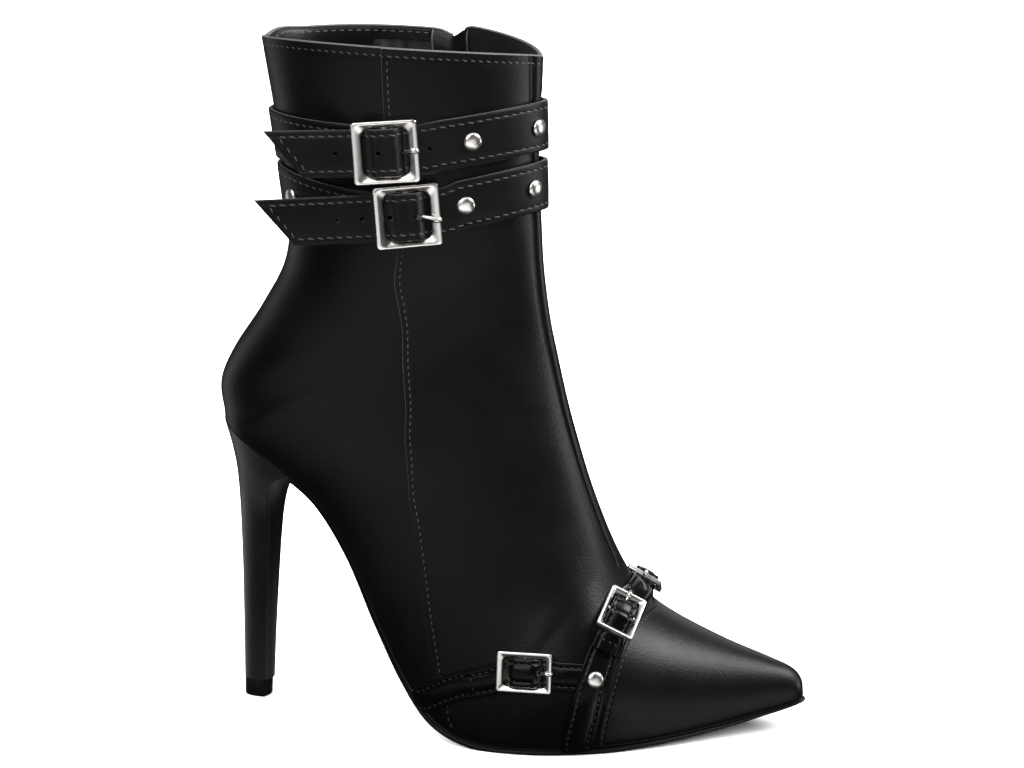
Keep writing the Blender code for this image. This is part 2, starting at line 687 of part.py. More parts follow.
def spread(path, count):
    """Even stations along a short path table."""
    table = np.array(path)
    knots = skin(table[:, 0], table[:, 1])
    place = np.concatenate([[0], np.cumsum(np.linalg.norm(np.diff(knots, axis=0), axis=1))])
    fine = np.linspace(0, place[-1], 400)
    low = np.clip(np.searchsorted(place, fine) - 1, 0, len(table) - 2)
    gap = place[low + 1] - place[low]
    part = (fine - place[low]) / gap
    smooth = []
    for values in table.T:
        slope = np.gradient(values, place)
        curve = (2 * part**3 - 3 * part**2 + 1) * values[low]
        curve = curve + (part**3 - 2 * part**2 + part) * slope[low] * gap
        curve = curve + (3 * part**2 - 2 * part**3) * values[low + 1]
        curve = curve + (part**3 - part**2) * slope[low + 1] * gap
        smooth.append(curve)
    points = skin(smooth[0], smooth[1])
    length = np.concatenate([[0], np.cumsum(np.linalg.norm(np.diff(points, axis=0), axis=1))])
    even = np.linspace(0, length[-1], count)
    rows = np.interp(even, length, smooth[0])
    arounds = np.interp(even, length, smooth[1])
    return rows, arounds, even


def nearest(rows, arounds, distances, row, around):
    """Distance along a path of its closest approach to a place on the wall."""
    gap = np.linalg.norm(skin(rows, arounds) - skin(row, around), axis=-1)
    return distances[int(np.argmin(gap))]


def bridge_lift(distance, at, low_before, low_after, peak, reach):
    """Height of a strap that rises over a buckle's centre bar."""
    s = (distance - at) / reach
    off_top = np.clip((np.abs(distance - at) - BAR_CREST) / (reach - BAR_CREST), 0, 1)
    hump = np.cos(off_top * math.pi / 2) ** 2
    ease = 1 / (1 + np.exp(-np.clip(s * 6, -40, 40)))
    base = low_before + (low_after - low_before) * ease
    return base + (peak - base) * hump


def local_frame(row, around, heading):
    """Frame on the wall: origin, direction along the strap, across it and outwards."""
    origin = skin(row, around)
    out = skin_normal(row, around)
    along = heading - out * np.dot(heading, out)
    along = along / np.linalg.norm(along)
    return origin, along, np.cross(out, along), out


def placed(frame, local):
    origin, along, across, out = frame
    local = np.asarray(local, float)
    return origin + local[:, :1] * along + local[:, 1:2] * across + local[:, 2:3] * out


def cell_solid(name, frame, xs, ys, zs, filled, look):
    """Closed solid made of the filled cells of a small grid in a local frame."""
    points = []
    index = {}

    def vertex(i, j, k):
        if (i, j, k) not in index:
            index[(i, j, k)] = len(points)
            points.append((xs[i], ys[j], zs[k]))
        return index[(i, j, k)]

    cells = set()
    for i in range(len(xs) - 1):
        for j in range(len(ys) - 1):
            for k in range(len(zs) - 1):
                if filled(i, j, k):
                    cells.add((i, j, k))
    faces = []
    for i, j, k in cells:
        sides = (
            ((-1, 0, 0), ((0, 0, 0), (0, 0, 1), (0, 1, 1), (0, 1, 0))),
            ((1, 0, 0), ((1, 0, 0), (1, 1, 0), (1, 1, 1), (1, 0, 1))),
            ((0, -1, 0), ((0, 0, 0), (1, 0, 0), (1, 0, 1), (0, 0, 1))),
            ((0, 1, 0), ((0, 1, 0), (0, 1, 1), (1, 1, 1), (1, 1, 0))),
            ((0, 0, -1), ((0, 0, 0), (0, 1, 0), (1, 1, 0), (1, 0, 0))),
            ((0, 0, 1), ((0, 0, 1), (1, 0, 1), (1, 1, 1), (0, 1, 1))),
        )
        for step, corners in sides:
            if (i + step[0], j + step[1], k + step[2]) in cells:
                continue
            faces.append([vertex(i + a, j + b, k + c) for a, b, c in corners])
    order = sorted(faces)
    return add_piece(name, placed(frame, points), order, look)


def buckle(name, frame, length, width, bar, rail, base, depth, look):
    """Rectangular frame with a centre bar across the strap."""
    half = length / 2
    side = width / 2
    thin = bar * CENTRE_BAR_SHARE
    xs = (-half, -half + bar, -thin, thin, half - bar, half)
    ys = (-side, -side + rail, side - rail, side)
    zs = (base, base + depth)
    return cell_solid(name, frame, xs, ys, zs, lambda i, j, k: not (j == 1 and i in (1, 3)), look)


def prong(name, frame, start, finish, base, top, half, look):
    """Tapered bar from beside the centre bar, through the strap, on to the outer bar."""
    stations = []
    middle = (start + finish) * PRONG_BEND[0]
    knee = base + (top - base) * PRONG_BEND[1]
    for x, height, size in ((start, base, half), (middle, knee, half), (finish, top, half * PRONG_TIP)):
        ring = []
        for k in range(6):
            turn = math.pi * k / 3
            ring.append((x, size * math.cos(turn), height + size * math.sin(turn)))
        stations.append(placed(frame, ring))
    return ruled_solid(name, stations, look)


def prong_slot(strap, frame, start, finish, half):
    """Cuts the prong's hole through the strap."""
    xs = (start, finish)
    ys = (-half, half)
    zs = (-1.0, 14.0)
    cutter = cell_solid(strap.name + "_hole_cutter", frame, xs, ys, zs, lambda i, j, k: True, LOOKS["metal"])
    cutter.hide_render = True
    cutter.display_type = "WIRE"
    cut = strap.modifiers.new("prong_hole", "BOOLEAN")
    cut.operation = "DIFFERENCE"
    cut.solver = "EXACT"
    cut.object = cutter


def stud(name, row, around, lift, look):
    """Domed stud standing on a strap."""
    frame = local_frame(row, around, np.array([1.0, 0.0, 0.0]))
    points = []
    size = STUD_SIDES
    for height, share in STUD_RINGS:
        radius = STUD_DIAMETER / 2 * share
        for k in range(size):
            turn = 2 * math.pi * k / size
            points.append((radius * math.cos(turn), radius * math.sin(turn), lift + height * STUD_HEIGHT))
    points.append((0.0, 0.0, lift + STUD_HEIGHT))
    faces = [list(range(size))]
    for ring in range(len(STUD_RINGS) - 1):
        for k in range(size):
            a = ring * size + k
            b = ring * size + (k + 1) % size
            faces.append([a, b, b + size, a + size])
    start = (len(STUD_RINGS) - 1) * size
    for k in range(size):
        faces.append([start + k, start + (k + 1) % size, len(points) - 1])
    return add_piece(name, placed(frame, points), faces, look)


def belt_row(around, height):
    """Section row where the wall reaches a height at a place round the shaft."""
    low, high = 16.0, float(LAST_ROW)
    for _ in range(45):
        middle = (low + high) / 2
        if skin(middle, around)[2] < height:
            low = middle
        else:
            high = middle
    return (low + high) / 2


def belt_path(belt, start, finish, count):
    """Belt centre line between two places round the shaft; places past 1 go on round the back."""
    places = np.linspace(start, finish, count)
    rows = []
    for place in places:
        share = abs(float(wrap(place)))
        if share < 0.5:
            mix = math.sin(share * math.pi) ** 2
            height = belt["front_z"] + (belt["side_z"] - belt["front_z"]) * mix
        else:
            mix = math.sin((share - 0.5) * math.pi) ** 2
            height = belt["side_z"] + (belt["back_z"] - belt["side_z"]) * mix
        rows.append(belt_row(float(wrap(place)), height))
    rows = np.array(rows)
    arounds = wrap(places)
    centre = skin(rows, arounds)
    distance = np.concatenate([[0], np.cumsum(np.linalg.norm(np.diff(centre, axis=0), axis=1))])
    return rows, arounds, distance


def even_path(path, count):
    rows, arounds, distance = path
    turns = np.unwrap(arounds * math.pi) / math.pi
    even = np.linspace(0, distance[-1], count)
    return np.interp(even, distance, rows), wrap(np.interp(even, distance, turns)), even


def build_belt(values):
    belt = dict(zip(BELT_COLUMNS, values))
    for column in ("front_z", "side_z", "back_z"):
        belt[column] *= size_scale(column)
    name = belt["name"]
    at = belt["buckle_at"]
    whole = belt_path(belt, at - 0.08, at + 0.08, 17)
    buckle_row = float(whole[0][8])
    ends = skin(whole[0], whole[1])
    flat = local_frame(buckle_row, at, ends[0] - ends[-1])
    tilt = math.radians(BELT_BUCKLE_TILT)
    frame = local_frame(buckle_row, at, flat[1] * math.cos(tilt) + flat[2] * math.sin(tilt))
    zip_place = zip_around(belt_row(-0.4, belt["side_z"]))
    half_buckle = BELT_BUCKLE_LENGTH / 2
    under_bar = BELT_LIFT + BELT_THICKNESS + PIECE_GAP
    base = under_bar + BELT_THICKNESS + PIECE_GAP
    over_bar = base + BELT_BUCKLE_DEPTH + PIECE_GAP + BAR_CLEAR

    rear = even_path(belt_path(belt, at - 0.02, 2 - zip_place - BELT_ZIP_MARGIN, 90), 26)
    lift = np.full(len(rear[0]), BELT_LIFT)
    strap_solid(
        name + "_rear", rear[0], rear[1], lift, BELT_WIDTH, BELT_THICKNESS, LOOKS["strap"],
        buckles=((frame, half_buckle),)
    )

    fine = belt_path(belt, -zip_place + BELT_ZIP_MARGIN, at + 0.16, 160)
    buckle_at = nearest(*fine, buckle_row, at)
    stop = buckle_at + half_buckle + BUCKLE_LEAD
    keep = fine[2] <= stop
    front = even_path((fine[0][keep], fine[1][keep], fine[2][keep]), 38)
    lift = bridge_lift(front[2], buckle_at, BELT_LIFT, under_bar, over_bar, half_buckle - BUCKLE_LEAD)
    tail = (belt["tail"] - half_buckle - BUCKLE_LEAD, TAIL_SLANT)
    front_strap = strap_solid(
        name + "_front", front[0], front[1], lift, BELT_WIDTH, BELT_THICKNESS, LOOKS["strap"], tail,
        ((frame, half_buckle),)
    )
    buckle(
        name + "_buckle", frame, BELT_BUCKLE_LENGTH, BELT_BUCKLE_WIDTH, BELT_BUCKLE_BAR, BELT_BUCKLE_RAIL,
        base, BELT_BUCKLE_DEPTH, LOOKS["metal"],
    )
    top = base + BELT_BUCKLE_DEPTH + PIECE_GAP + BELT_PRONG_RADIUS
    prong(
        name + "_prong", frame, BELT_PRONG_START, half_buckle - BELT_PRONG_INSET, base + BELT_PRONG_RISE, top,
        BELT_PRONG_RADIUS, LOOKS["metal"],
    )
    prong_slot(front_strap, frame, *BELT_SLOT)
    for label, place in belt["studs"]:
        path = rear if label == "rear" else front
        gap = np.abs(path[1] - place)
        row = float(path[0][int(np.argmin(gap))])
        stud(name + "_stud_" + label, row, place, BELT_LIFT + BELT_THICKNESS + STUD_SEAT, LOOKS["metal"])


def build_small_strap(name, path, lift, count, frames):
    rows, arounds, distance = spread(path, count)
    height = lift(distance, rows, arounds)
    buckles = [(frame, SMALL_BUCKLE_LENGTH / 2) for frame in frames]
    return strap_solid(
        name, rows, arounds, height, SMALL_WIDTH, SMALL_THICKNESS, LOOKS["gloss"], buckles=buckles
    )


def path_frame(path, row, around, reverse):
    """Buckle frame whose long direction follows a strap path."""
    rows, arounds, distance = spread(path, 200)
    points = skin(rows, arounds)
    at = nearest(rows, arounds, distance, row, around)
    near = np.abs(distance - at) < HEADING_REACH
    heading = points[near][-1] - points[near][0]
    return local_frame(row, around, -heading if reverse else heading)


def flat_lift(distance, rows, arounds):
    return np.full(len(distance), SMALL_LIFT)


def small_metal(buckle_name, prong_name, frame, base, strap):
    """Buckle and prong of a small strap, with the prong's hole in the strap that passes over the bar."""
    buckle(
        buckle_name, frame, SMALL_BUCKLE_LENGTH, SMALL_BUCKLE_WIDTH, SMALL_BUCKLE_BAR, SMALL_BUCKLE_RAIL,
        base, SMALL_BUCKLE_DEPTH, LOOKS["metal"],
    )
    top = base + SMALL_BUCKLE_DEPTH + PIECE_GAP + SMALL_PRONG_RADIUS
    prong(
        prong_name, frame, SMALL_PRONG_START, SMALL_BUCKLE_LENGTH / 2 - SMALL_PRONG_INSET, base + SMALL_PRONG_RISE,
        top, SMALL_PRONG_RADIUS, LOOKS["metal"],
    )
    prong_slot(strap, frame, *SMALL_SLOT)


def build_vamp():
    over = SMALL_LIFT + SMALL_THICKNESS + PIECE_GAP
    bar_base = over + SMALL_THICKNESS + PIECE_GAP
    peak = bar_base + SMALL_BUCKLE_DEPTH + PIECE_GAP + BAR_CLEAR
    reach = SMALL_BUCKLE_LENGTH / 2 - SMALL_BUCKLE_LEAD
    frames = {
        "lateral": path_frame(VAMP_BRIDGE_PATH, *VAMP_BUCKLES["lateral"], False),
        "medial": path_frame(VAMP_BRIDGE_PATH, *VAMP_BUCKLES["medial"], True),
    }
    build_small_strap("vamp_strap_lateral", VAMP_LATERAL_PATH, flat_lift, 20, [frames["lateral"]])
    build_small_strap("vamp_strap_medial", VAMP_MEDIAL_PATH, flat_lift, 18, [frames["medial"]])

    def bridge(distance, rows, arounds):
        first = nearest(rows, arounds, distance, *VAMP_BUCKLES["lateral"])
        second = nearest(rows, arounds, distance, *VAMP_BUCKLES["medial"])
        left = bridge_lift(distance, first, over, RIDGE_LIFT, peak, reach)
        right = bridge_lift(distance, second, RIDGE_LIFT, over, peak, reach)
        return np.where(distance < (first + second) / 2, left, right)

    strap = build_small_strap("vamp_strap_bridge", VAMP_BRIDGE_PATH, bridge, 44, list(frames.values()))
    for label, frame in frames.items():
        small_metal("vamp_buckle_" + label, "vamp_prong_" + label, frame, bar_base, strap)
        stud("vamp_stud_" + label, *VAMP_STUDS[label], SMALL_LIFT + SMALL_THICKNESS + STUD_SEAT, LOOKS["metal"])


def build_side():
    over = SMALL_LIFT + SMALL_THICKNESS + PIECE_GAP
    bar_base = over + SMALL_THICKNESS + PIECE_GAP - SIDE_BAR_DROP
    peak = bar_base + SMALL_BUCKLE_DEPTH + PIECE_GAP + BAR_CLEAR

    def front(distance, rows, arounds):
        at = nearest(rows, arounds, distance, *SIDE_BUCKLE)
        return bridge_lift(distance, at, SMALL_LIFT, over, peak, SMALL_BUCKLE_LENGTH / 2 - SMALL_BUCKLE_LEAD)

    frame = path_frame(SIDE_FRONT_PATH, *SIDE_BUCKLE, True)
    build_small_strap("side_strap_rear", SIDE_REAR_PATH, flat_lift, 16, [frame])
    strap = build_small_strap("side_strap_front", SIDE_FRONT_PATH, front, 24, [frame])
    small_metal("side_buckle", "side_prong", frame, bar_base, strap)


def build_slider():
    place = -zip_around(SLIDER_ROW)
    origin = skin(SLIDER_ROW, place)
    out = skin_normal(SLIDER_ROW, place)
    upright = np.array([0.0, 0.0, 1.0])
    across = unit(np.cross(upright, out))
    frame = (origin, across, np.cross(out, across), out)

    def body(i, j, k):
        if k == 0:
            return True
        if i != 1 or j not in (1, 2, 3):
            return False
        return k == 2 or j in (1, 3)

    cell_solid("zip_slider", frame, SLIDER_ACROSS, SLIDER_ALONG, SLIDER_OUT, body, LOOKS["metal"])
    axis_point = origin + out * (SLIDER_OUT[1] + SLIDER_OUT[2]) / 2
    level_out = unit(np.array([out[0], out[1], 0.0]))
    hang = (axis_point, across, upright, level_out)
    cell_solid(
        "zip_pull", hang, PULL_ACROSS, PULL_ALONG, PULL_OUT, lambda i, j, k: not (i == 1 and j == 1), LOOKS["metal"]
    )
    shown = (axis_point - np.array([CENTRE_X, CENTRE_Y, 0.0])) * MM
    print("zip pull axis at", [round(float(v), 6) for v in shown], [round(float(v), 6) for v in across])


clear_scene()
BOOT = bpy.data.objects.new("boot", None)
bpy.context.scene.collection.objects.link(BOOT)
LOOKS = {
    "leather": material("black leather", (0.012, 0.012, 0.013), 0.42, 0.0),
    "strap": material("black strap leather", (0.014, 0.014, 0.015), 0.45, 0.0),
    "gloss": material("black glossy strap", (0.010, 0.010, 0.011), 0.28, 0.0),
    "sole": material("black sole", (0.010, 0.010, 0.010), 0.55, 0.0),
    "sock": material("black lining", (0.020, 0.020, 0.021), 0.70, 0.0),
    "metal": material("polished nickel", (0.78, 0.75, 0.71), 0.14, 1.0),
    "zip": material("black zip", (0.016, 0.016, 0.017), 0.60, 0.0),
}
build_upper(LOOKS["leather"])
build_outsole(LOOKS["sole"])
build_insole(LOOKS["sock"])
build_heel(LOOKS["leather"])
build_top_piece(LOOKS["sole"])
for belt_values in BELTS:
    build_belt(belt_values)
build_vamp()
build_side()
build_zip(LOOKS["zip"])
build_slider()
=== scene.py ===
import math
import bmesh
import bpy
import numpy as np
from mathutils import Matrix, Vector


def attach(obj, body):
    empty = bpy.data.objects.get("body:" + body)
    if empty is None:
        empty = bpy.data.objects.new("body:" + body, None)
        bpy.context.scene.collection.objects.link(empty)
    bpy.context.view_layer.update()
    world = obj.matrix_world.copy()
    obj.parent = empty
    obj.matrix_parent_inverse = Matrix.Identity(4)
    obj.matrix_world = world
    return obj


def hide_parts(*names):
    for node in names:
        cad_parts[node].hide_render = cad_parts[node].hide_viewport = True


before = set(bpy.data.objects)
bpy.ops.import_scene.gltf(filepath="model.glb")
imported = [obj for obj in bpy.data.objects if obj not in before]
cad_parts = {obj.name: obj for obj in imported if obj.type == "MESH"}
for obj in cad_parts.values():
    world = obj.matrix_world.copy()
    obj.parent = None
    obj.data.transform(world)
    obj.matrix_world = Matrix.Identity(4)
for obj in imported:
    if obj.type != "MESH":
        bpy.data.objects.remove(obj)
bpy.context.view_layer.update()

scene = bpy.context.scene
rowShift = np.array([101.7, -5.85, 0.0])  # heel-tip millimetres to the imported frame
metres = 0.001  # in one millimetre


# The last: one row for each fanned section from the toe tip to the collar, in millimetres.
# X towards the toe, -Y outwards, Z up, zero under the middle of the heel tip.
lastColumns = ("backX", "backZ", "frontX", "frontZ", "widestAt", "wideLat", "wideMed", "featherLat",
               "featherMed", "midBack", "midFront", "ridgePower", "backPower", "riseLat", "riseMed")
lastRows = np.array((
    (213.6, 12.7, 213.8, 13.3, 0.40, 0.0, 0.0, 0.0, 0.0, 9.0, 9.0, 2.00, 2.0, 0.0, 0.0),
    (212.4, 12.2, 212.6, 19.0, 0.40, 3.5, 3.3, 2.9, 2.8, 8.9, 8.9, 2.00, 2.0, 0.0, 0.0),
    (208.4, 11.1, 208.4, 23.4, 0.40, 6.2, 5.8, 5.2, 5.0, 8.7, 8.6, 2.00, 2.0, 0.0, 0.0),
    (199.4, 9.1, 199.0, 27.2, 0.38, 10.9, 10.1, 9.5, 8.9, 8.0, 7.9, 2.00, 2.0, 0.0, 0.0),
    (184.0, 6.4, 182.5, 33.4, 0.36, 18.6, 16.6, 16.8, 15.0, 6.0, 6.2, 2.00, 2.0, 0.0, 0.0),
    (164.0, 4.2, 164.0, 42.0, 0.34, 28.4, 24.2, 26.6, 22.4, 3.2, 4.4, 2.00, 2.0, 0.0, 0.0),
    (143.0, 3.2, 153.0, 49.6, 0.32, 36.8, 30.2, 34.8, 28.2, 0.6, 3.2, 2.00, 2.1, 0.0, 0.0),
    (121.0, 3.1, 146.5, 59.2, 0.30, 41.2, 33.2, 39.6, 31.0, -1.2, 2.0, 2.00, 2.1, 0.0, 0.0),
    (99.0, 3.2, 141.4, 70.0, 0.30, 40.4, 32.2, 39.0, 29.2, -1.8, 1.0, 2.00, 2.1, 0.0, 0.0),
    (81.6, 7.6, 136.8, 82.0, 0.315, 37.6, 30.0, 34.2, 23.8, -1.4, 0.4, 1.95, 2.0, 0.0, 0.0),
    (68.8, 20.0, 132.2, 95.0, 0.335, 34.6, 29.6, 28.6, 19.6, -0.8, 0.0, 1.95, 2.0, 0.0, 0.0),
    (56.4, 41.6, 128.0, 108.8, 0.355, 32.7, 30.0, 24.6, 17.8, -0.4, 0.0, 1.90, 2.0, 0.0, 0.0),
    (44.8, 66.0, 124.4, 121.8, 0.36, 31.6, 30.4, 22.4, 18.0, 0.0, 0.0, 1.90, 2.0, 0.0, 0.0),
    (32.2, 85.6, 121.6, 133.4, 0.36, 31.4, 30.6, 21.6, 19.6, 0.0, 0.0, 1.90, 2.0, 0.0, 0.0),
    (17.4, 97.6, 119.4, 143.2, 0.36, 31.2, 30.8, 20.8, 20.4, 0.0, 0.0, 1.90, 2.0, 0.0, 0.0),
    (2.2, 106.8, 117.6, 152.0, 0.37, 31.0, 30.8, 17.0, 17.0, 0.0, 0.0, 1.85, 2.0, 0.0, 0.0),
    (-7.4, 112.4, 116.2, 160.0, 0.38, 31.0, 30.8, 9.4, 9.4, 0.0, 0.0, 1.85, 2.0, 0.0, 0.0),
    (-10.4, 116.2, 115.2, 167.6, 0.39, 31.0, 30.8, 0.0, 0.0, 0.0, 0.0, 1.85, 2.0, 0.0, 0.0),
    (-11.2, 122.6, 114.4, 175.2, 0.40, 31.0, 30.8, 0.0, 0.0, 0.0, 0.0, 1.85, 2.0, 0.0, 0.0),
    (-10.0, 131.0, 113.8, 182.6, 0.41, 31.0, 30.8, 0.0, 0.0, 0.0, 0.0, 1.85, 2.0, 0.0, 0.0),
    (-4.4, 142.6, 113.4, 190.4, 0.43, 30.8, 30.6, 0.0, 0.0, 0.0, 0.0, 1.85, 2.0, 0.0, 0.0),
    (6.2, 158.5, 113.1, 198.6, 0.45, 30.6, 30.4, 0.0, 0.0, 0.0, 0.0, 1.80, 2.0, 0.0, 0.0),
    (15.0, 174.4, 113.0, 207.4, 0.47, 30.6, 30.4, 0.0, 0.0, 0.0, 0.0, 1.80, 2.0, 0.0, 0.0),
    (17.4, 190.6, 113.0, 216.6, 0.48, 31.0, 30.6, 0.0, 0.0, 0.0, 0.0, 1.75, 2.0, 0.0, 0.0),
    (15.8, 208.0, 113.0, 226.2, 0.49, 31.8, 31.4, 0.0, 0.0, 0.0, 0.0, 1.65, 2.0, 0.0, 0.0),
    (12.8, 230.0, 113.2, 238.4, 0.50, 33.4, 32.8, 0.0, 0.0, 0.0, 0.0, 1.55, 2.0, 1.2, 1.4),
    (8.2, 258.8, 113.7, 253.5, 0.50, 35.6, 34.6, 0.0, 0.0, 0.0, 0.0, 1.45, 2.0, 3.2, 3.5),
))
collarRow = len(lastRows) - 1.0
heelBackRow = 17.0  # the back seam closes here
breastRow = 13.8  # the sole ends and the heel begins
wall = 1.8
collarTrim = {"zipAt": -0.42, "zipEase": 0.02, "notch": 2.3, "notchWide": 0.026, "frontRise": 2.3,
              "frontFrom": -0.03, "frontOver": 0.34, "backRise": 1.2, "backAt": -0.91, "backWide": 0.07,
              "from": 24.8}


def curveThrough(table, at):  # smooth curve through rows whose first column is the place
    table = np.asarray(table, float)
    at = np.asarray(at, float)
    place = table[:, 0]
    values = table[:, 1:]
    slope = np.gradient(values, place, axis=0)
    low = np.clip(np.searchsorted(place, at, side="right") - 1, 0, len(place) - 2)
    gap = (place[low + 1] - place[low])[..., None]
    part = np.clip((at - place[low])[..., None] / gap, 0, 1)
    value = (2 * part**3 - 3 * part**2 + 1) * values[low]
    value = value + (part**3 - 2 * part**2 + part) * slope[low] * gap
    value = value + (3 * part**2 - 2 * part**3) * values[low + 1]
    return value + (part**3 - part**2) * slope[low + 1] * gap


lastTable = np.column_stack([np.arange(len(lastRows)), lastRows])


def sectionAt(row):  # a section's sizes by name
    section = curveThrough(lastTable, np.clip(row, 0, collarRow))
    return {name: section[..., k] for k, name in enumerate(lastColumns)}


def skin(row, place, inset=0.0):  # place: 0 at the ridge, 1 lateral back, -1 medial back
    row, place = np.broadcast_arrays(np.asarray(row, float), np.asarray(place, float))
    inset = np.broadcast_to(np.asarray(inset, float), row.shape)
    get = sectionAt(row)
    lateral = place > 0
    angle = math.pi * np.abs(place)
    cosine = np.abs(np.cos(angle))
    sine = np.abs(np.sin(angle))
    front = angle <= math.pi / 2
    wide = np.maximum(np.where(lateral, get["wideLat"], get["wideMed"]) - inset, 0)
    feather = np.maximum(np.where(lateral, get["featherLat"], get["featherMed"]), 0)
    spanX = get["frontX"] - get["backX"]
    spanZ = get["frontZ"] - get["backZ"]
    length = np.hypot(spanX, spanZ)
    low = np.maximum(inset, 0)
    middle = get["widestAt"] * length
    top = length - inset
    along = np.where(front, middle + (top - middle) * cosine,
                     low + (middle - low) * (1 - cosine ** (2 / get["backPower"])))
    half = np.where(front, wide * sine ** (2 / get["ridgePower"]),
                    feather + (wide - feather) * sine ** (2 / get["backPower"]))
    share = along / length
    x = get["backX"] + spanX * share
    y = get["midBack"] + (get["midFront"] - get["midBack"]) * share - np.sign(place) * half
    z = get["backZ"] + spanZ * share + np.where(lateral, get["riseLat"], get["riseMed"]) * sine
    zipGap = place - collarTrim["zipAt"]
    fore = np.clip((collarTrim["frontFrom"] - place) / collarTrim["frontOver"], 0, 1)
    aheadOfZip = ease((zipGap + collarTrim["zipEase"]) / (2 * collarTrim["zipEase"]))
    trim = collarTrim["frontRise"] * fore * aheadOfZip
    trim = trim - collarTrim["notch"] * bump(zipGap, collarTrim["notchWide"])
    trim = trim + collarTrim["backRise"] * bump(place - collarTrim["backAt"], collarTrim["backWide"])
    z = z + trim * ease((row - collarTrim["from"]) / (collarRow - collarTrim["from"]))
    return np.stack([x, y, z], axis=-1)


def unit(vector):
    return vector / np.maximum(np.linalg.norm(vector, axis=-1, keepdims=True), 1e-9)


def skinOut(row, place, step=0.004):  # outward direction of the wall
    row, place = np.broadcast_arrays(np.asarray(row, float), np.asarray(place, float))
    along = skin(np.minimum(row + step, collarRow), place) - skin(np.maximum(row - step, 0), place)
    sign = np.where(place < 0, -1.0, 1.0)
    clear = np.where(np.abs(place) < 2 * step, 2 * step * sign, place)
    across = skin(row, np.clip(clear + step, -1, 1)) - skin(row, np.clip(clear - step, -1, 1))
    out = unit(np.cross(along, across))
    get = sectionAt(row)
    middle = np.stack([(get["backX"] + get["frontX"]) / 2, (get["midBack"] + get["midFront"]) / 2,
                       (get["backZ"] + get["frontZ"]) / 2], axis=-1)
    return out * np.sign(np.sum(out * (skin(row, place) - middle), axis=-1, keepdims=True))


def roundSpeed(row, place, step=0.005):  # millimetres for one unit round the section
    return np.linalg.norm(skin(row, place + step) - skin(row, place - step), axis=-1) / (2 * step)


def rowSpeed(row, place, step=0.05):  # millimetres for one section row
    return np.linalg.norm(skin(row + step, place) - skin(row - step, place), axis=-1) / (2 * step)


def wrapRound(place):
    place = np.asarray(place, float)
    return np.where(place > 1, place - 2, np.where(place < -1, place + 2, place))


def bump(distance, width):
    return np.exp(-(distance / width) ** 2)


def ease(value):
    value = np.clip(value, 0, 1)
    return value * value * (3 - 2 * value)


# Mesh helpers
litGoods = ("boot goods", "metal goods", "heel goods")  # what each lamp may light
receivers = {name: bpy.data.collections.new(name) for name in litGoods}


def addPiece(name, points, faces, finish, stands=(), slot="black_leather", body="boot", faceLooks=None,
             sharp=40):
    mesh = bpy.data.meshes.new(name)
    placed = (np.asarray(points, float).reshape(-1, 3) - rowShift) * metres
    mesh.from_pydata(placed.tolist(), [], [list(map(int, face)) for face in faces])
    for look in finish if isinstance(finish, list) else [finish]:
        mesh.materials.append(look)
    if faceLooks is not None:
        mesh.polygons.foreach_set("material_index", np.asarray(faceLooks, dtype=np.int32))
    work = bmesh.new()
    work.from_mesh(mesh)
    bmesh.ops.recalc_face_normals(work, faces=work.faces[:])
    work.to_mesh(mesh)
    work.free()
    mesh.polygons.foreach_set("use_smooth", np.ones(len(mesh.polygons), dtype=bool))
    mesh.set_sharp_from_angle(angle=math.radians(sharp))
    mesh.update()
    piece = bpy.data.objects.new(name, mesh)
    scene.collection.objects.link(piece)
    receivers["boot goods"].objects.link(piece)
    if slot == "nickel":
        receivers["metal goods"].objects.link(piece)
    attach(piece, body)
    if stands:
        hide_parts(*stands)
    return piece


def gridFaces(rows, columns, closed=False):
    faces = []
    for i in range(rows - 1):
        for j in range(columns if closed else columns - 1):
            k = (j + 1) % columns
            a = i * columns
            faces.append((a + j, a + k, a + columns + k, a + columns + j))
    return faces


def sheetOf(points):  # open sheet from equal rows of points
    return points, gridFaces(*points.shape[:2])


def loopSolid(rings):  # closed solid from equal closed rings
    rings = np.asarray(rings)
    count, size = rings.shape[:2]
    faces = gridFaces(count, size, closed=True)
    faces.append(tuple(range(size))[::-1])
    faces.append(tuple(range((count - 1) * size, count * size)))
    return rings.reshape(-1, 3), faces


def merged(parts):
    points = []
    faces = []
    start = 0
    for partPoints, partFaces in parts:
        partPoints = np.asarray(partPoints).reshape(-1, 3)
        points.append(partPoints)
        faces += [tuple(k + start for k in face) for face in partFaces]
        start += len(partPoints)
    return np.concatenate(points), faces


def lengthAlong(points):
    return np.concatenate([[0], np.cumsum(np.linalg.norm(np.diff(points, axis=0), axis=1))])


def resample(points, outs, pitch, near=0.2):  # even places along a line, the way ahead and outwards
    length = lengthAlong(points)
    count = max(int(length[-1] / pitch), 1)
    at = (np.arange(count) + 0.5) * length[-1] / count

    def along(values, places):
        return np.stack([np.interp(places, length, values[:, k]) for k in range(3)], axis=-1)

    spots, ahead, behind = (along(points, places) for places in (at, at + near, at - near))
    return spots, unit(ahead - behind), unit(along(outs, at))


def roundTurn(count):  # even angles round a circle
    return np.linspace(0, 2 * math.pi, count + 1)[:-1]


def halved(low, high, below, rounds=34):  # closes in on the place where below() stops being true
    for _ in range(rounds):
        middle = (low + high) / 2
        under = below(middle)
        low = np.where(under, middle, low)
        high = np.where(under, high, middle)
    return (low + high) / 2


# Materials
noiseSpan = (0.3, 0.7)  # where nearly all of a noise lies
leatherSpread = {"dark": (0.75, 0.75, 0.78), "light": (1.25, 1.25, 1.32), "roughness": 0.035, "broad": 42,
                 "fine": 2.4, "blue": 1.04}


def shaderOf(look):
    return look.node_tree.nodes["Principled BSDF"]


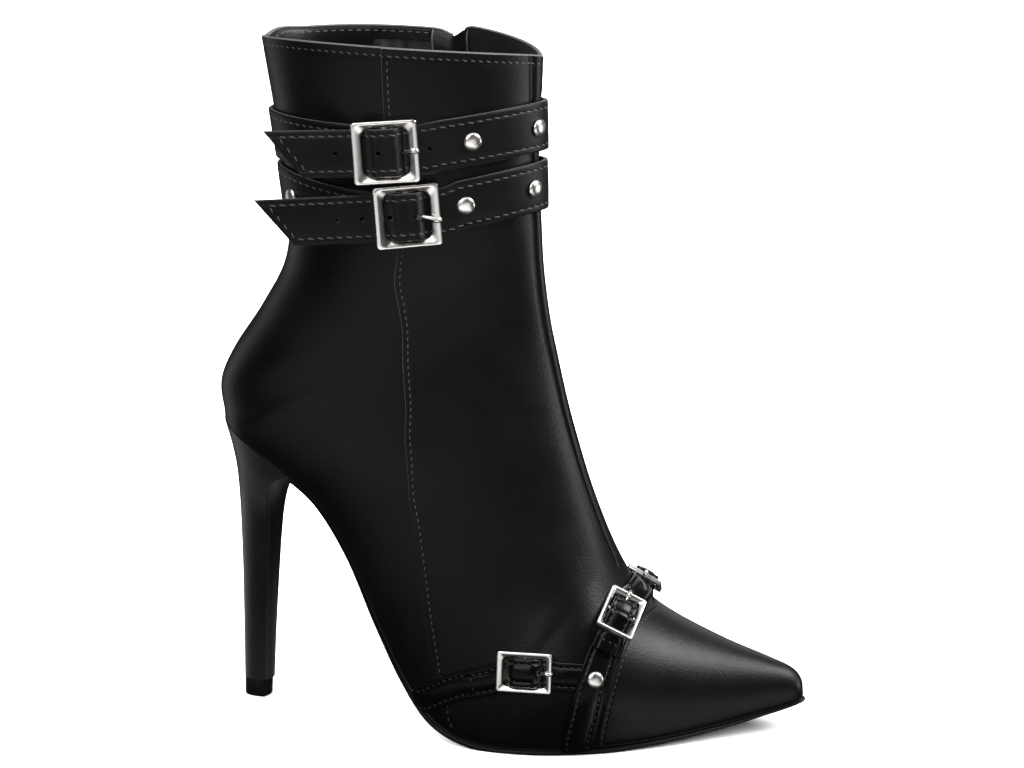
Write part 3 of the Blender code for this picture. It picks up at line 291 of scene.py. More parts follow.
def plainLook(name, settings):
    look = bpy.data.materials.new(name)
    look.use_nodes = True
    shader = shaderOf(look)
    for socket, value in settings.items():
        shader.inputs[socket].default_value = value
    look.diffuse_color = settings["Base Color"]
    return look


def addTexture(look, kind, settings, feature=None):  # a texture in the piece's own coordinates
    nodes = look.node_tree.nodes
    where = nodes.new("ShaderNodeTexCoord")
    texture = nodes.new(kind)
    if feature:
        texture.feature = feature
    for socket, value in settings.items():
        texture.inputs[socket].default_value = value
    look.node_tree.links.new(where.outputs["Object"], texture.inputs["Vector"])
    return texture


def addNoise(look, scale, detail):
    settings = {"Scale": scale, "Detail": detail, "Roughness": 0.55}
    return addTexture(look, "ShaderNodeTexNoise", settings).outputs["Fac"]


def addPores(look, scale):  # rounded grain cells of the hide
    settings = {"Scale": scale, "Smoothness": 0.4}
    return addTexture(look, "ShaderNodeTexVoronoi", settings, "SMOOTH_F1").outputs["Distance"]


def addRange(look, source, low, high, socket):
    spread = look.node_tree.nodes.new("ShaderNodeMapRange")
    for name, value in zip(("From Min", "From Max", "To Min", "To Max"), (*noiseSpan, low, high)):
        spread.inputs[name].default_value = value
    look.node_tree.links.new(source, spread.inputs["Value"])
    look.node_tree.links.new(spread.outputs["Result"], shaderOf(look).inputs[socket])


def addRamp(look, source, dark, light):
    ramp = look.node_tree.nodes.new("ShaderNodeValToRGB")
    for stop, place, colour in zip(ramp.color_ramp.elements, noiseSpan, (dark, light)):
        stop.position = place
        stop.color = (*colour, 1)
    look.node_tree.links.new(source, ramp.inputs["Fac"])
    look.node_tree.links.new(ramp.outputs["Color"], shaderOf(look).inputs["Base Color"])


def addBump(look, sources, distance, strength):
    links = look.node_tree.links
    last = None
    for source, share in sources:
        relief = look.node_tree.nodes.new("ShaderNodeBump")
        relief.inputs["Strength"].default_value = strength * share
        relief.inputs["Distance"].default_value = distance
        links.new(source, relief.inputs["Height"])
        if last:
            links.new(last, relief.inputs["Normal"])
        last = relief.outputs["Normal"]
    links.new(last, shaderOf(look).inputs["Normal"])


def leatherLook(name, tone, roughness, grain, depth):
    spread = leatherSpread
    look = plainLook(name, {"Base Color": (tone, tone, tone * spread["blue"], 1), "Roughness": roughness,
                            "Specular IOR Level": 0.4})
    broad = addNoise(look, spread["broad"], 3)
    fine = addNoise(look, grain * spread["fine"], 2)
    dark, light = (tuple(tone * share for share in spread[end]) for end in ("dark", "light"))
    addRamp(look, broad, dark, light)
    addRange(look, broad, roughness - spread["roughness"], roughness + spread["roughness"], "Roughness")
    addBump(look, ((addPores(look, grain), 1.0), (fine, 0.6)), depth, 0.3)
    return look


def metalLook():
    look = plainLook("polished nickel", {"Base Color": (0.80, 0.775, 0.745, 1), "Metallic": 1.0,
                                         "Roughness": 0.29})
    addRange(look, addNoise(look, 220, 2), 0.25, 0.33, "Roughness")
    return look


def clothLook(name, tone, roughness, scale):
    look = plainLook(name, {"Base Color": (tone, tone, tone * 1.05, 1), "Roughness": roughness,
                            "Sheen Weight": 0.15})
    weave = addTexture(look, "ShaderNodeTexWave", {"Scale": scale, "Distortion": 1.5}).outputs["Fac"]
    addBump(look, ((weave, 1.0), (addNoise(look, scale * 3, 2), 0.7)), 0.0002, 0.3)
    addRange(look, addNoise(look, 60, 2), roughness - 0.08, roughness + 0.08, "Roughness")
    return look


def soleLook():
    look = plainLook("black sole", {"Base Color": (0.011, 0.011, 0.011, 1), "Roughness": 0.5})
    addBump(look, ((addNoise(look, 900, 3), 1.0),), 0.0002, 0.3)
    addRange(look, addNoise(look, 90, 3), 0.42, 0.6, "Roughness")
    return look


def edgeLook():  # cut leather edge, greyer and fibrous
    look = plainLook("cut edge", {"Base Color": (0.23, 0.23, 0.234, 1), "Roughness": 0.7})
    addRamp(look, addNoise(look, 1800, 3), (0.15, 0.15, 0.153), (0.32, 0.32, 0.326))
    addBump(look, ((addNoise(look, 2600, 2), 1.0),), 0.0001, 0.4)
    return look


def threadLook(name, dark, light):
    look = plainLook(name, {"Base Color": (dark, dark, dark, 1), "Roughness": 0.45, "Sheen Weight": 0.2})
    addRamp(look, addNoise(look, 3000, 2), (dark, dark, dark * 1.02), (light, light, light * 1.02))
    return look


looks = {
    "leather": leatherLook("black leather", 0.0048, 0.38, 1500, 0.00014),
    "belt": leatherLook("belt leather", 0.0065, 0.44, 1700, 0.0001),
    "gloss": leatherLook("glossy strap leather", 0.003, 0.25, 1500, 0.00008),
    "lining": clothLook("satin lining", 0.016, 0.36, 1400),
    "sole": soleLook(),
    "edge": edgeLook(),
    "thread": threadLook("grey thread", 0.1, 0.24),
    "darkThread": threadLook("dark thread", 0.02, 0.09),
    "nickel": metalLook(),
    "tape": clothLook("zip tape", 0.012, 0.62, 2200),
}
print("materials", len(looks))


# Upper: front and back panels lapped on the outer side, a beaded ridge seam and a toe panel
upper = {"seamLap": 0.55, "seamStitch": 2.0, "bead": 0.45, "beadGroove": 5.1, "toeStep": 0.5,
         "toeStitch": 1.9, "collarStitch": 2.7, "ridgeEnd": 7.2, "underRoll": 1.25, "zipBottom": 12.0,
         "zipTop": 25.9, "zipSlot": 7.0, "zipX": 75.0, "zipLean": 0.02, "zipHeight": 262.0}
reliefSizes = {"lapFade": 11.0, "lapSink": 0.15, "lapSinkWide": 1.2, "stitchSink": 0.14, "stitchWide": 0.5,
               "rimStitchWide": 0.7, "beadAt": 2.0, "beadWide": 1.9, "groove": 0.95, "grooveWide": 0.45,
               "grooveMore": 0.35, "beltSink": 0.9, "edgeSink": 0.5, "edgeWide": 0.8, "uneven": 0.05}
columnGaps = {"ridge": 7.6, "lap": 1.0, "lapFront": 5.5, "lapEdge": 0.15, "lapBack": 2.2, "slotSide": 1.7,
              "least": 0.004, "last": 0.994, "nearBack": 0.98, "softReach": 1.2}
cup = {"ease": 0.6, "reach": 1.3, "rounds": 70, "instep": 0.12, "full": 1.05, "fullAbove": 0.6,
       "fullReach": 1.7}
upperRows = ((0.03, 1, 9), (1, 3, 14), (3, 5.5, 20), (5.5, 6.2, 36), (6.2, 8, 22), (8, 12, 60), (12, 17, 40),
             (17, 25.4, 70), (25.4, 26, 12))  # section rows of the mesh: from, to, how many
liningRows = ((1.6, 8, 26), (8, 12, 14), (12, 22, 30), (22, 26, 40))
seamTable = (  # section row, place of the lapped edge
    (8.5, 0.99), (8.78, 0.89), (9.02, 0.79), (9.72, 0.685), (10.68, 0.60), (11.7, 0.534), (12.74, 0.482),
    (13.54, 0.448), (14.44, 0.41), (15.5, 0.386), (17.06, 0.376), (19.08, 0.386), (21.12, 0.44),
    (25.08, 0.50), (26.0, 0.49))
toeTable = (  # place, section row of the toe panel's edge
    (0, 5.62), (0.12, 5.83), (0.18, 5.97), (0.30, 6.08), (0.45, 6.08), (0.8, 6.06), (1.0, 6.06))
creaseTable = (  # row, place, slant, length, width, depth of each soft trough
    (20.6, 0.78, 0.9, 0.20, 0.55, 0.35), (21.4, 0.60, -0.5, 0.16, 0.5, 0.22),
    (20.8, -0.78, 0.9, 0.2, 0.55, 0.3), (10.6, 0.25, 0.8, 0.16, 0.9, 0.14),
    (9.5, 0.52, -1.2, 0.14, 0.9, 0.12), (10.2, -0.4, 0.8, 0.16, 0.9, 0.2))
seamCut = 8.5  # the lapped seam meets the sole here


def rowsOver(spans):
    return np.concatenate([np.linspace(*span)[min(k, 1):] for k, span in enumerate(spans)])


def lateralSeam(row):
    return curveThrough(seamTable, np.clip(row, seamCut, collarRow))[..., 0]


def besideSeam(row, distance, reach=0.06, step=0.002):  # place a few millimetres in front of the lapped edge
    steps = np.arange(0, reach, step)
    places = lateralSeam(row)[:, None] - steps
    points = skin(np.repeat(row[:, None], len(steps), axis=1), places)
    away = np.cumsum(np.linalg.norm(np.diff(points, axis=1), axis=-1), axis=1)
    return np.array([np.interp(distance, away[k], places[k, 1:]) for k in range(len(row))])


def zipPlace(row):  # where the zip line crosses each section on the inner side
    row = np.maximum(np.asarray(row, float), upper["zipBottom"] - 0.3)

    def ahead(share):
        point = skin(row, -share)
        return point[..., 0] > upper["zipX"] + upper["zipLean"] * (upper["zipHeight"] - point[..., 2])

    return halved(np.full(row.shape, 0.05), np.full(row.shape, 0.95), ahead)


def spaced(row, place, distance):  # millimetres as a share round the section
    return np.minimum(distance / roundSpeed(row, place), 0.1)


def columnPlaces(row, lateralCounts, medialCounts):
    gaps = columnGaps
    seam = lateralSeam(row)
    ridge = spaced(row, 0.02, gaps["ridge"])
    lap = spaced(row, np.minimum(seam, gaps["nearBack"]), gaps["lap"])
    shifts = np.linspace(-gaps["softReach"], gaps["softReach"], 13)
    softSeam = np.mean([lateralSeam(row + shift) for shift in shifts], axis=0)
    softLap = spaced(row, np.minimum(softSeam, gaps["nearBack"]), gaps["lap"])
    softEnd = softSeam - softLap * gaps["lapFront"]
    line = zipPlace(row)
    half = spaced(row, -line, upper["zipSlot"] / 2)
    lateral = [ridge, seam - lap * gaps["lapFront"], seam - lap * gaps["lapEdge"],
               seam + lap * gaps["lapEdge"], seam + lap * gaps["lapBack"]]
    slotSide = half * gaps["slotSide"]
    medial = [ridge, line - slotSide, line - half, line + half, line + slotSide]
    sides = []
    for between, counts in ((lateral, lateralCounts), (medial, medialCounts)):
        anchors = [row * 0]
        anchors += [np.clip(at, gaps["least"] * (k + 1), gaps["last"]) for k, at in enumerate(between)]
        anchors.append(row * 0 + 1)
        places = [anchors[0]]
        for k, count in enumerate(counts):
            for share in np.arange(1, count + 1) / count:
                at = anchors[k] + (anchors[k + 1] - anchors[k]) * share
                if counts is lateralCounts and k == 1:  # the seam's turn at the sole fades out up the panel
                    at = at + (softEnd - anchors[2]) * (share - share**4)
                places.append(at)
        sides.append(np.maximum.accumulate(np.stack(places, axis=-1), axis=-1))
    return sides


def toeEdge(place):
    return curveThrough(toeTable, np.abs(place))[..., 0]


def upperRelief(row, place):  # seams, laps and soft unevenness of the leather, in millimetres
    size = reliefSizes
    lateral = place > 0
    side = np.abs(place)
    speed = roundSpeed(row, np.clip(place, -0.985, 0.985))
    seamGap = (lateralSeam(row) - place) * speed
    onSeam = ease((row - seamCut) / 0.4) * lateral
    relief = onSeam * np.where(seamGap > 0, upper["seamLap"] * bump(seamGap, size["lapFade"]),
                               -size["lapSink"] * bump(seamGap, size["lapSinkWide"]))
    relief -= onSeam * size["stitchSink"] * bump(seamGap - upper["seamStitch"], size["stitchWide"])
    ridgeGap = place * roundSpeed(row, 0.02)
    onRidge = ease((row - upper["ridgeEnd"]) / 0.6)
    relief += onRidge * upper["bead"] * bump(ridgeGap - size["beadAt"], size["beadWide"])
    grooveWide = size["grooveWide"] + size["grooveMore"] * ease((row - 10) / 4)
    relief -= onRidge * size["groove"] * bump(ridgeGap - upper["beadGroove"], grooveWide)
    underBelts = ease((row - 20.6) / 1.2) * ease((25.3 - row) / 0.8)
    relief -= size["beltSink"] * bump(side, 0.1) * underBelts  # drawn in by the belts
    relief += upper["toeStep"] * ease((toeEdge(place) - row) / 0.025) * ease(row / 2)
    toeGap = (toeEdge(place) - row) * rowSpeed(row, place)
    relief -= size["stitchSink"] * bump(toeGap - upper["toeStitch"], size["stitchWide"]) * (row < 7)
    rimGap = (collarRow - row) * rowSpeed(row, place)
    relief -= size["stitchSink"] * bump(rimGap - upper["collarStitch"], size["rimStitchWide"])
    edgeGap = (1 - side) * speed
    relief -= size["edgeSink"] * bump(edgeGap, size["edgeWide"]) * (row < heelBackRow) * ease(row / 2)
    around = place * math.pi
    soft = np.sin(1.7 * row + 2.3 * np.sin(around)) * np.sin(3 * around + 0.4 * row)
    soft = soft + 0.6 * np.sin(0.9 * row - 4 * around)
    relief += size["uneven"] * soft * ease((row - 1) / 3) * ease((collarRow - row) / 1.5)
    for atRow, atPlace, slant, long, wide, depth in creaseTable:
        across = (row - atRow - slant * (place - atPlace)) / wide
        relief -= depth * np.exp(-across**2 - ((place - atPlace) / long) ** 2)
    return relief


def shellGrid(row, lateralCounts, medialCounts, inset, relief):
    lateral, medial = columnPlaces(row, lateralCounts, medialCounts)
    place = np.concatenate([-medial[:, ::-1], lateral[:, 1:]], axis=1)
    rows = np.repeat(row[:, None], place.shape[1], axis=1)
    return place, skin(rows, place, inset) + skinOut(rows, place) * relief(rows, place)[..., None]


def slotColumns(medialCounts):  # the columns on the two sides of the zip
    return sum(medialCounts[4:]), sum(medialCounts[3:])


def shellFaces(row, columns, medialCounts):  # faces of the wall, and which of its cells the zip leaves shown
    slot = range(*slotColumns(medialCounts))
    cells = [(i, j) for i in range(len(row) - 1) for j in range(columns - 1)]
    keep = [row[i] < upper["zipBottom"] or j not in slot for i, j in cells]
    return [face for face, shown in zip(gridFaces(len(row), columns), keep) if shown], keep


def easeCup(row, place, points):  # softens the turn from heel seat to back seam, and the instep a little
    rows = np.repeat(row[:, None], place.shape[1], axis=1)
    side = np.abs(place)
    featherEdge = (side > 0.999) & (rows < heelBackRow)
    weight = cup["ease"] * bump(rows - heelBackRow, cup["reach"]) * ease((side - 0.5) / 0.3)
    weight[featherEdge] = 0
    onInstep = ease((rows - 7.2) / 0.6) * ease((10.6 - rows) / 0.8)
    weight += cup["instep"] * onInstep * ease((side - 0.13) / 0.06) * ease((0.66 - side) / 0.1)
    for _ in range(cup["rounds"]):
        wide = np.concatenate([points[:, -2:-1], points, points[:, 1:2]], axis=1)
        long = np.concatenate([points[:1], points, points[-1:]])
        mean = (wide[:, :-2] + wide[:, 2:] + long[:-2] + long[2:]) / 4
        points = points + (mean - points) * weight[..., None]
    full = cup["full"] * bump(rows - heelBackRow - cup["fullAbove"], cup["fullReach"])
    full = full * ease((side - 0.55) / 0.4)  # gives back what the easing took in
    full[featherEdge] = 0
    return points + skinOut(rows, place) * full[..., None]


def turnUnder(row, edge, side):  # the wall's last strip, rolled down over the sole's edge
    drop = upper["underRoll"] * ease(row / 0.8) * ease((breastRow - 0.4 - row) / 3)
    rings = []
    for share, out in ((0.0, 0.0), (0.35, 0.12), (0.75, 0.08), (1.0, -0.3)):
        move = np.zeros((len(row), 3))
        move[:, 1] = -side * out * ease(row)
        move[:, 2] = -share * drop
        rings.append(edge + move)
    return np.stack(rings, axis=1)


def buildUpper():
    row = rowsOver(upperRows)
    lateralCounts = (34, 30, 14, 2, 6, 36)
    medialCounts = (8, 30, 4, 2, 4, 40)
    place, points = shellGrid(row, lateralCounts, medialCounts, 0.0, upperRelief)
    points = easeCup(row, place, points)
    columns = place.shape[1]
    faces, keep = shellFaces(row, columns, medialCounts)
    first = sum(medialCounts) + sum(lateralCounts[:3])
    cutEdge = range(first, first + lateralCounts[3])
    cells = [(i, j) for i in range(len(row) - 1) for j in range(columns - 1)]
    # The lapped seam's edge faces take the pale cut-edge colour: a raw leather edge, and also a painted
    # highlight for the thin light line the edge catches.
    lapEdgeAndPaintedHighlight = [row[i] > seamCut + 0.4 and j in cutEdge for i, j in cells]
    faceLooks = [int(cut) for cut, shown in zip(lapEdgeAndPaintedHighlight, keep) if shown]
    faces.append(tuple(range(columns)))  # closes the toe tip
    parts = [(points, faces)]
    foot = row < breastRow
    for side, column in ((1, -1), (-1, 0)):
        parts.append(sheetOf(turnUnder(row[foot], points[foot, column], side)))
    points, faces = merged(parts)
    faceLooks += [0] * (len(faces) - len(faceLooks))
    addPiece("upper_leather", points, faces, [looks["leather"], looks["edge"]], ("upper",),
             faceLooks=faceLooks, sharp=60)
    buildRims(row, place, parts[0][0], medialCounts)


def rimStrip(outer, inner, away, bulge, steps=7):  # rounded edge between the outer and inner skins
    rings = []
    for k in range(steps):
        share = k / (steps - 1)
        lift = math.sin(share * math.pi) ** 0.7 * bulge
        rings.append(outer + (inner - outer) * share + away * lift)
    return np.stack(rings)


def buildRims(row, place, points, medialCounts):
    columns = place.shape[1]
    rim = place[-1]
    top = np.full(columns, collarRow)
    inner = skin(top, rim, wall)
    away = unit(skin(top, rim) - skin(top - 0.2, rim))
    near, far = slotColumns(medialCounts)
    parts = []
    for span in (slice(0, near + 1), slice(far, columns)):
        parts.append(sheetOf(rimStrip(points[-1, span], inner[span], away[span], 0.5)))
    slot = row >= upper["zipBottom"]
    across = unit(points[slot, far] - points[slot, near])
    for column, sign in ((near, 1), (far, -1)):
        innerEdge = skin(row[slot], place[slot, column], wall)
        parts.append(sheetOf(rimStrip(points[slot, column], innerEdge, across * sign, 0.45)))
    addPiece("collar_edge", *merged(parts), looks["edge"])


def gathers(rows, places):  # soft upright folds of the satin near the collar
    fold = np.sin(places * 150 + 2 * np.sin(rows * 1.7)) + 0.6 * np.sin(places * 61 + rows)
    inSatin = ease((places + 0.65) / 0.03) * ease((-0.47 - places) / 0.03)
    nearRim = ease((rows - 23) / 1.5) * ease((collarRow - 0.19 - rows) / 0.1)
    return -0.6 * (fold + 1.6) * nearRim * inSatin


def buildLining():
    row = rowsOver(liningRows)
    lateralCounts = (2, 16, 3, 1, 2, 18)
    medialCounts = (2, 14, 2, 1, 2, 60)
    place, points = shellGrid(row, lateralCounts, medialCounts, wall, gathers)
    faces, _ = shellFaces(row, place.shape[1], medialCounts)
    addPiece("lining", points, faces, looks["lining"], slot="lining", sharp=60)


def innerPatch(places, depth, inset, steps=9):  # sheet inside the collar, reaching down from the rim
    speed = rowSpeed(np.full(len(places), collarRow - 0.1), places)
    down = np.concatenate([[0.0, 0.02], np.linspace(0.05, 1, steps)])
    rows = collarRow - 0.02 - depth / speed[None, :] * down[:, None]
    proud = inset * ease(down / 0.05 + 0.2)
    inward = wall + np.repeat(proud[:, None], len(places), axis=1)
    return skin(rows, np.broadcast_to(places, rows.shape), inward)


def buildFacing():  # leather facing round the back of the collar and the guard behind the zip
    facing = {"depth": 24.0, "proud": 0.55, "from": 0.12, "to": -0.63, "bandTo": -0.485, "bandDepth": 4.2,
              "stitch": 1.9, "guardFrom": -0.48, "guardTo": -0.385, "guardDepth": 60.0,
              "guardInsets": (1.0, 2.2)}
    back = np.concatenate([np.linspace(facing["from"], 1, 60), -np.linspace(-facing["to"], 1, 40)[::-1][1:]])
    band = np.linspace(facing["to"], facing["bandTo"], 16)
    sheets = []
    lines = []
    for places, depth in ((back, facing["depth"]), (band, facing["bandDepth"])):
        sheets.append(sheetOf(innerPatch(places, depth, facing["proud"])))
        rows = collarRow - facing["stitch"] / rowSpeed(np.full(len(places), collarRow - 0.1), places)
        lines.append((skin(rows, places, wall + facing["proud"]), -skinOut(rows, places)))
    addPiece("collar_facing", *merged(sheets), looks["leather"], sharp=60)
    guard = np.linspace(facing["guardTo"], facing["guardFrom"], 26)
    outer, inner = (innerPatch(guard, facing["guardDepth"], inset, 20) for inset in facing["guardInsets"])
    sheets = [sheetOf(outer), sheetOf(inner)]
    cells = len(guard) - 1
    edging = [0] * len(sheets[0][1]) + [int(k % cells == cells - 1) for k in range(len(sheets[1][1]))]
    addPiece("zip_guard", *merged(sheets), [looks["leather"], looks["edge"]], faceLooks=edging, sharp=60)
    edges = []
    for side in ((slice(None), 0), (slice(None), -1), 0, -1):
        edges.append(sheetOf(np.stack([outer[side], (outer[side] + inner[side]) / 2, inner[side]])))
    addPiece("zip_guard_edge", *merged(edges), looks["edge"])
    return lines


buildUpper()
buildLining()
facingLines = buildFacing()
print("upper shell, rim and lining")


# Sole, insole, heel and top piece
sole = {"gap": 0.3, "lip": 0.9, "toeLip": 0.5, "insole": 1.2}
soleTable = ((0, 1.2), (3, 1.7), (5, 2.6), (6, 3.2), (8, 3.2), (10, 2.2), (12, 1.4), (13.8, 1.0))
heelTable = (  # backZ, breastZ, backX, edgeX, breastX, halfWidth, power
    (7.0, 7.0, -5.3, 3.8, 6.4, 5.3, 2.5), (30.0, 30.0, -5.1, 5.1, 7.7, 6.0, 2.4),
    (52.0, 51.0, -5.0, 6.6, 9.2, 6.8, 2.3), (68.0, 65.0, -5.2, 7.6, 10.3, 7.8, 2.2),
    (82.0, 76.0, -5.5, 8.0, 11.5, 10.0, 2.1), (94.0, 83.5, -6.0, 9.2, 13.0, 14.0, 2.1),
    (104.0, 89.5, -7.6, 12.6, 15.8, 17.6, 2.1))
liftTable = (
    (0.0, 0.0, -5.1, 3.2, 5.0, 4.7, 2.5), (0.25, 0.25, -5.3, 3.4, 5.2, 4.9, 2.5),
    (3.0, 3.0, -5.3, 3.5, 5.4, 5.0, 2.5), (6.4, 6.4, -5.3, 3.6, 5.6, 5.1, 2.5),
    (6.7, 6.7, -5.1, 3.4, 5.4, 4.9, 2.5))
heelQuarter = 18  # points on each quarter of the heel's round back
breastShares = np.array((0.985, 0.955, 0.93, 0.905, 0.86, 0.7, 0.45, 0.2))
breastShares = np.concatenate([breastShares, -breastShares[::-1]])


def soleLine(row, drop):  # the sole line moved square to itself, down out of the boot
    row = np.asarray(row, float)
    here, ahead, behind = (sectionAt(at) for at in (row, np.maximum(row - 0.01, 0), row + 0.01))
    along = unit(np.stack([behind[k] - ahead[k] for k in ("backX", "backZ")], axis=-1))
    out = np.stack([-along[..., 1], along[..., 0]], axis=-1)
    out = np.where(out[..., 1:] > 0, -out, out)
    return here["backX"] + out[..., 0] * drop, here["backZ"] + out[..., 1] * drop


def featherLine(row, side):
    section = sectionAt(row)
    return np.maximum(section["featherLat" if side > 0 else "featherMed"], 0), section["midBack"]


def soleSolid(lineOn):  # closed solid from the lines of the outer and the inner side
    return loopSolid(np.stack(lineOn(1) + lineOn(-1)[::-1], axis=1))


def buildOutsole():
    row = rowsOver(((0.1, 2, 16), (2, breastRow - 0.04, 110)))
    thick = np.interp(row, *np.array(soleTable).T)
    lip = sole["lip"] * np.minimum(1, 0.3 + row)
    push = sole["toeLip"] * np.maximum(0, 1 - row)
    edge = ((0.0, -1.4), (0.36, -1.2), (0.43, -0.35), (0.52, -0.15), (0.8, -0.15), (0.93, -0.3),
            (1.0, -0.65))  # share of the thickness, outwards

    def lineOn(side):
        half, centre = featherLine(row, side)
        line = []
        for depth, setIn in edge:
            x, z = soleLine(row, sole["gap"] + thick * depth)
            y = centre - side * np.maximum(half + lip + setIn * np.minimum(1, row), 0.05)
            line.append(np.stack([x + push, y, np.maximum(z, 0.02 + 0.6 * (1 - depth))], axis=-1))
        x, z = soleLine(row, sole["gap"] + thick)
        line.append(np.stack([x + push, centre - side * half * 0.5, np.maximum(z, 0.0)], axis=-1))
        return line

    addPiece("outsole_rubber", *soleSolid(lineOn), looks["sole"], ("outsole",), "black_sole")


def buildInsole():
    row = np.linspace(2.2, 15.9, 90)
    cupIn = 1.5 * np.clip((row - breastRow) / 2.5, 0, 1)
    toeIn = wall * 0.9 * np.maximum(0, 1 - row / 5)

    def lineOn(side):
        half, centre = featherLine(row, side)
        half = half - toeIn - 0.45 - cupIn
        line = []
        for up, setIn in ((0.0, 0.0), (0.8, 0.0), (1.0, 0.35), (1.05, 3.0)):
            x, z = soleLine(row, -sole["gap"] - sole["insole"] * up)
            line.append(np.stack([x, centre - side * np.maximum(half - setIn, 0.1), z], axis=-1))
        return line

    addPiece("insole_sock", *soleSolid(lineOn), looks["lining"], ("insole",), "lining")


def heelRing(level, groove=0.0):  # round the back, then across the breast face
    backZ, breastZ, backX, edgeX, breastX, halfWidth, power = level
    turn = np.linspace(-math.pi / 2, math.pi / 2, 2 * heelQuarter + 1)
    x = edgeX - (edgeX - backX) * np.cos(turn) ** (2 / power)
    y = np.sign(turn) * halfWidth * np.abs(np.sin(turn)) ** (2 / power)
    sunk = groove * bump(np.abs(breastShares) - 0.93, 0.022)
    x = np.concatenate([x, breastX - (breastX - edgeX) * breastShares**2 - sunk])
    y = np.concatenate([y, halfWidth * breastShares])
    z = backZ + (breastZ - backZ) * (x - backX) / (breastX - backX)
    return np.stack([x, y, z], axis=-1)


def seatRing():
    row = np.linspace(breastRow, heelBackRow, heelQuarter + 1)
    x, z = soleLine(row, sole["gap"])
    sides = []
    for side in (1, -1):
        half, centre = featherLine(row, side)
        sides.append(np.stack([x, centre - side * half, z], axis=-1))
    level = np.ones(len(breastShares))
    across = np.stack([level * x[0], breastShares * half[0], level * z[0]], axis=-1)
    return np.concatenate([sides[0], sides[1][::-1][1:], across])


def soften(piece, width, angle=38):  # rounds the sharp edges
    rounder = piece.modifiers.new("soften", "BEVEL")
    rounder.width = width * metres
    rounder.segments = 3
    rounder.limit_method = "ANGLE"
    rounder.angle_limit = math.radians(angle)


def buildHeel():
    rings = np.stack([heelRing(level, 0.4) for level in heelTable] + [seatRing()])
    count, size = rings.shape[:2]
    place = np.array([0, 1, 2, 2.8, 3.6, 4.4, 5.2, 6.0])
    table = np.column_stack([place, rings.reshape(count, -1)])
    fine = curveThrough(table, np.linspace(0, place[-1], 80)).reshape(-1, size, 3)
    cover = addPiece("heel_cover", *loopSolid(fine), looks["leather"], ("heel",), sharp=34)
    soften(cover, 0.5)
    receivers["heel goods"].objects.link(cover)
    lift = loopSolid(np.stack([heelRing(level) for level in liftTable]))
    addPiece("heel_top_lift", *lift, looks["sole"], ("heel_top_piece",), "black_sole", sharp=34)


buildOutsole()
buildInsole()
buildHeel()
print("sole and heel")


# Straps lie on the wall: stations along a path, a rounded section across it
strap = {"foot": 0.975, "facing": 0.86, "barCrest": 3.0, "gap": 0.3, "runEase": 8.0, "waistPast": 3,
         "waistEase": 4, "loopReach": 0.13, "loopSpread": 6.5, "tuckIn": 0.5, "tuckDown": (0, 0, 1.3)}
belts = {"width": 18.2, "thick": 1.6, "lift": 0.5, "stitchIn": 2.4, "zipMargin": 0.07, "slant": 13.0,
         "tailRise": 0.045, "loop": 2.4, "crown": 0.08, "cutEdge": 1, "lowestRow": 16.0,
         "stitch": (3.4, 0.68)}  # the stitch: pitch, share of it that shows
smalls = {"width": 10.6, "thick": 1.2, "lift": 0.5, "stitchIn": 1.9, "crown": 0.42, "cutEdge": 0}
vamps = dict(smalls, width=11.3)
forefootStitch = (2.5, 0.6)
beltBuckle = {"length": 23.6, "width": 22.4, "bar": 3.4, "rail": 2.5, "depth": 2.2, "corner": 1.3,
              "inner": 1.6, "waist": 0.065, "runOut": 9.0}
smallBuckle = {"length": 20.6, "width": 14.8, "bar": 2.2, "rail": 2.1, "depth": 1.8, "corner": 0.9,
               "inner": 0.7, "waist": 0.02, "runOut": 2.0, "end": 1.8}
vampBuckle = {"length": 20.8, "width": 14.4, "bar": 2.1, "rail": 2.0, "depth": 1.8, "corner": 0.9,
              "inner": 0.5, "waist": 0.17, "runOut": 6.0, "end": 1.8}


def edgeOffset(rows, places, across, offset, least=None):  # walk across the wall from the centre line
    moves = 4
    for _ in range(moves):
        clear = np.clip(places, -0.985, 0.985)
        byRow = (skin(rows + 0.01, places) - skin(rows - 0.01, places)) / 0.02
        byTurn = (skin(rows, clear + 0.01) - skin(rows, clear - 0.01)) / 0.02
        target = across * (np.broadcast_to(offset, rows.shape)[:, None] / moves)
        a = np.sum(byRow * byRow, axis=-1)
        b = np.sum(byRow * byTurn, axis=-1)
        c = np.sum(byTurn * byTurn, axis=-1)
        p = np.sum(byRow * target, axis=-1)
        q = np.sum(byTurn * target, axis=-1)
        det = a * c - b * b
        rows = rows + (c * p - b * q) / det
        places = places + (a * q - b * p) / det
        onFoot = rows < heelBackRow - 0.1
        places = np.where(onFoot, np.clip(places, -strap["foot"], strap["foot"]), wrapRound(places))
    if least is not None:
        rows = np.maximum(rows, least(places))
    facing = np.where(rows < heelBackRow - 0.1, np.clip(places, -strap["facing"], strap["facing"]), places)
    return skin(rows, places), skinOut(rows, facing)


def crest(distance, reach):  # flat-topped rise over a buckle's centre bar
    off = np.clip((np.abs(distance) - strap["barCrest"]) / (reach - strap["barCrest"]), 0, 1)
    return np.cos(off * math.pi / 2) ** 2


def averaged(points, spread):  # running mean along a line
    reach = int(spread * 3)
    weights = np.exp(-0.5 * (np.arange(-reach, reach + 1) / spread) ** 2)
    before, after = (np.repeat(end, reach, axis=0) for end in (points[:1], points[-1:]))
    padded = np.concatenate([before, points, after])
    return sum(weight * padded[k:k + len(points)] for k, weight in enumerate(weights / weights.sum()))


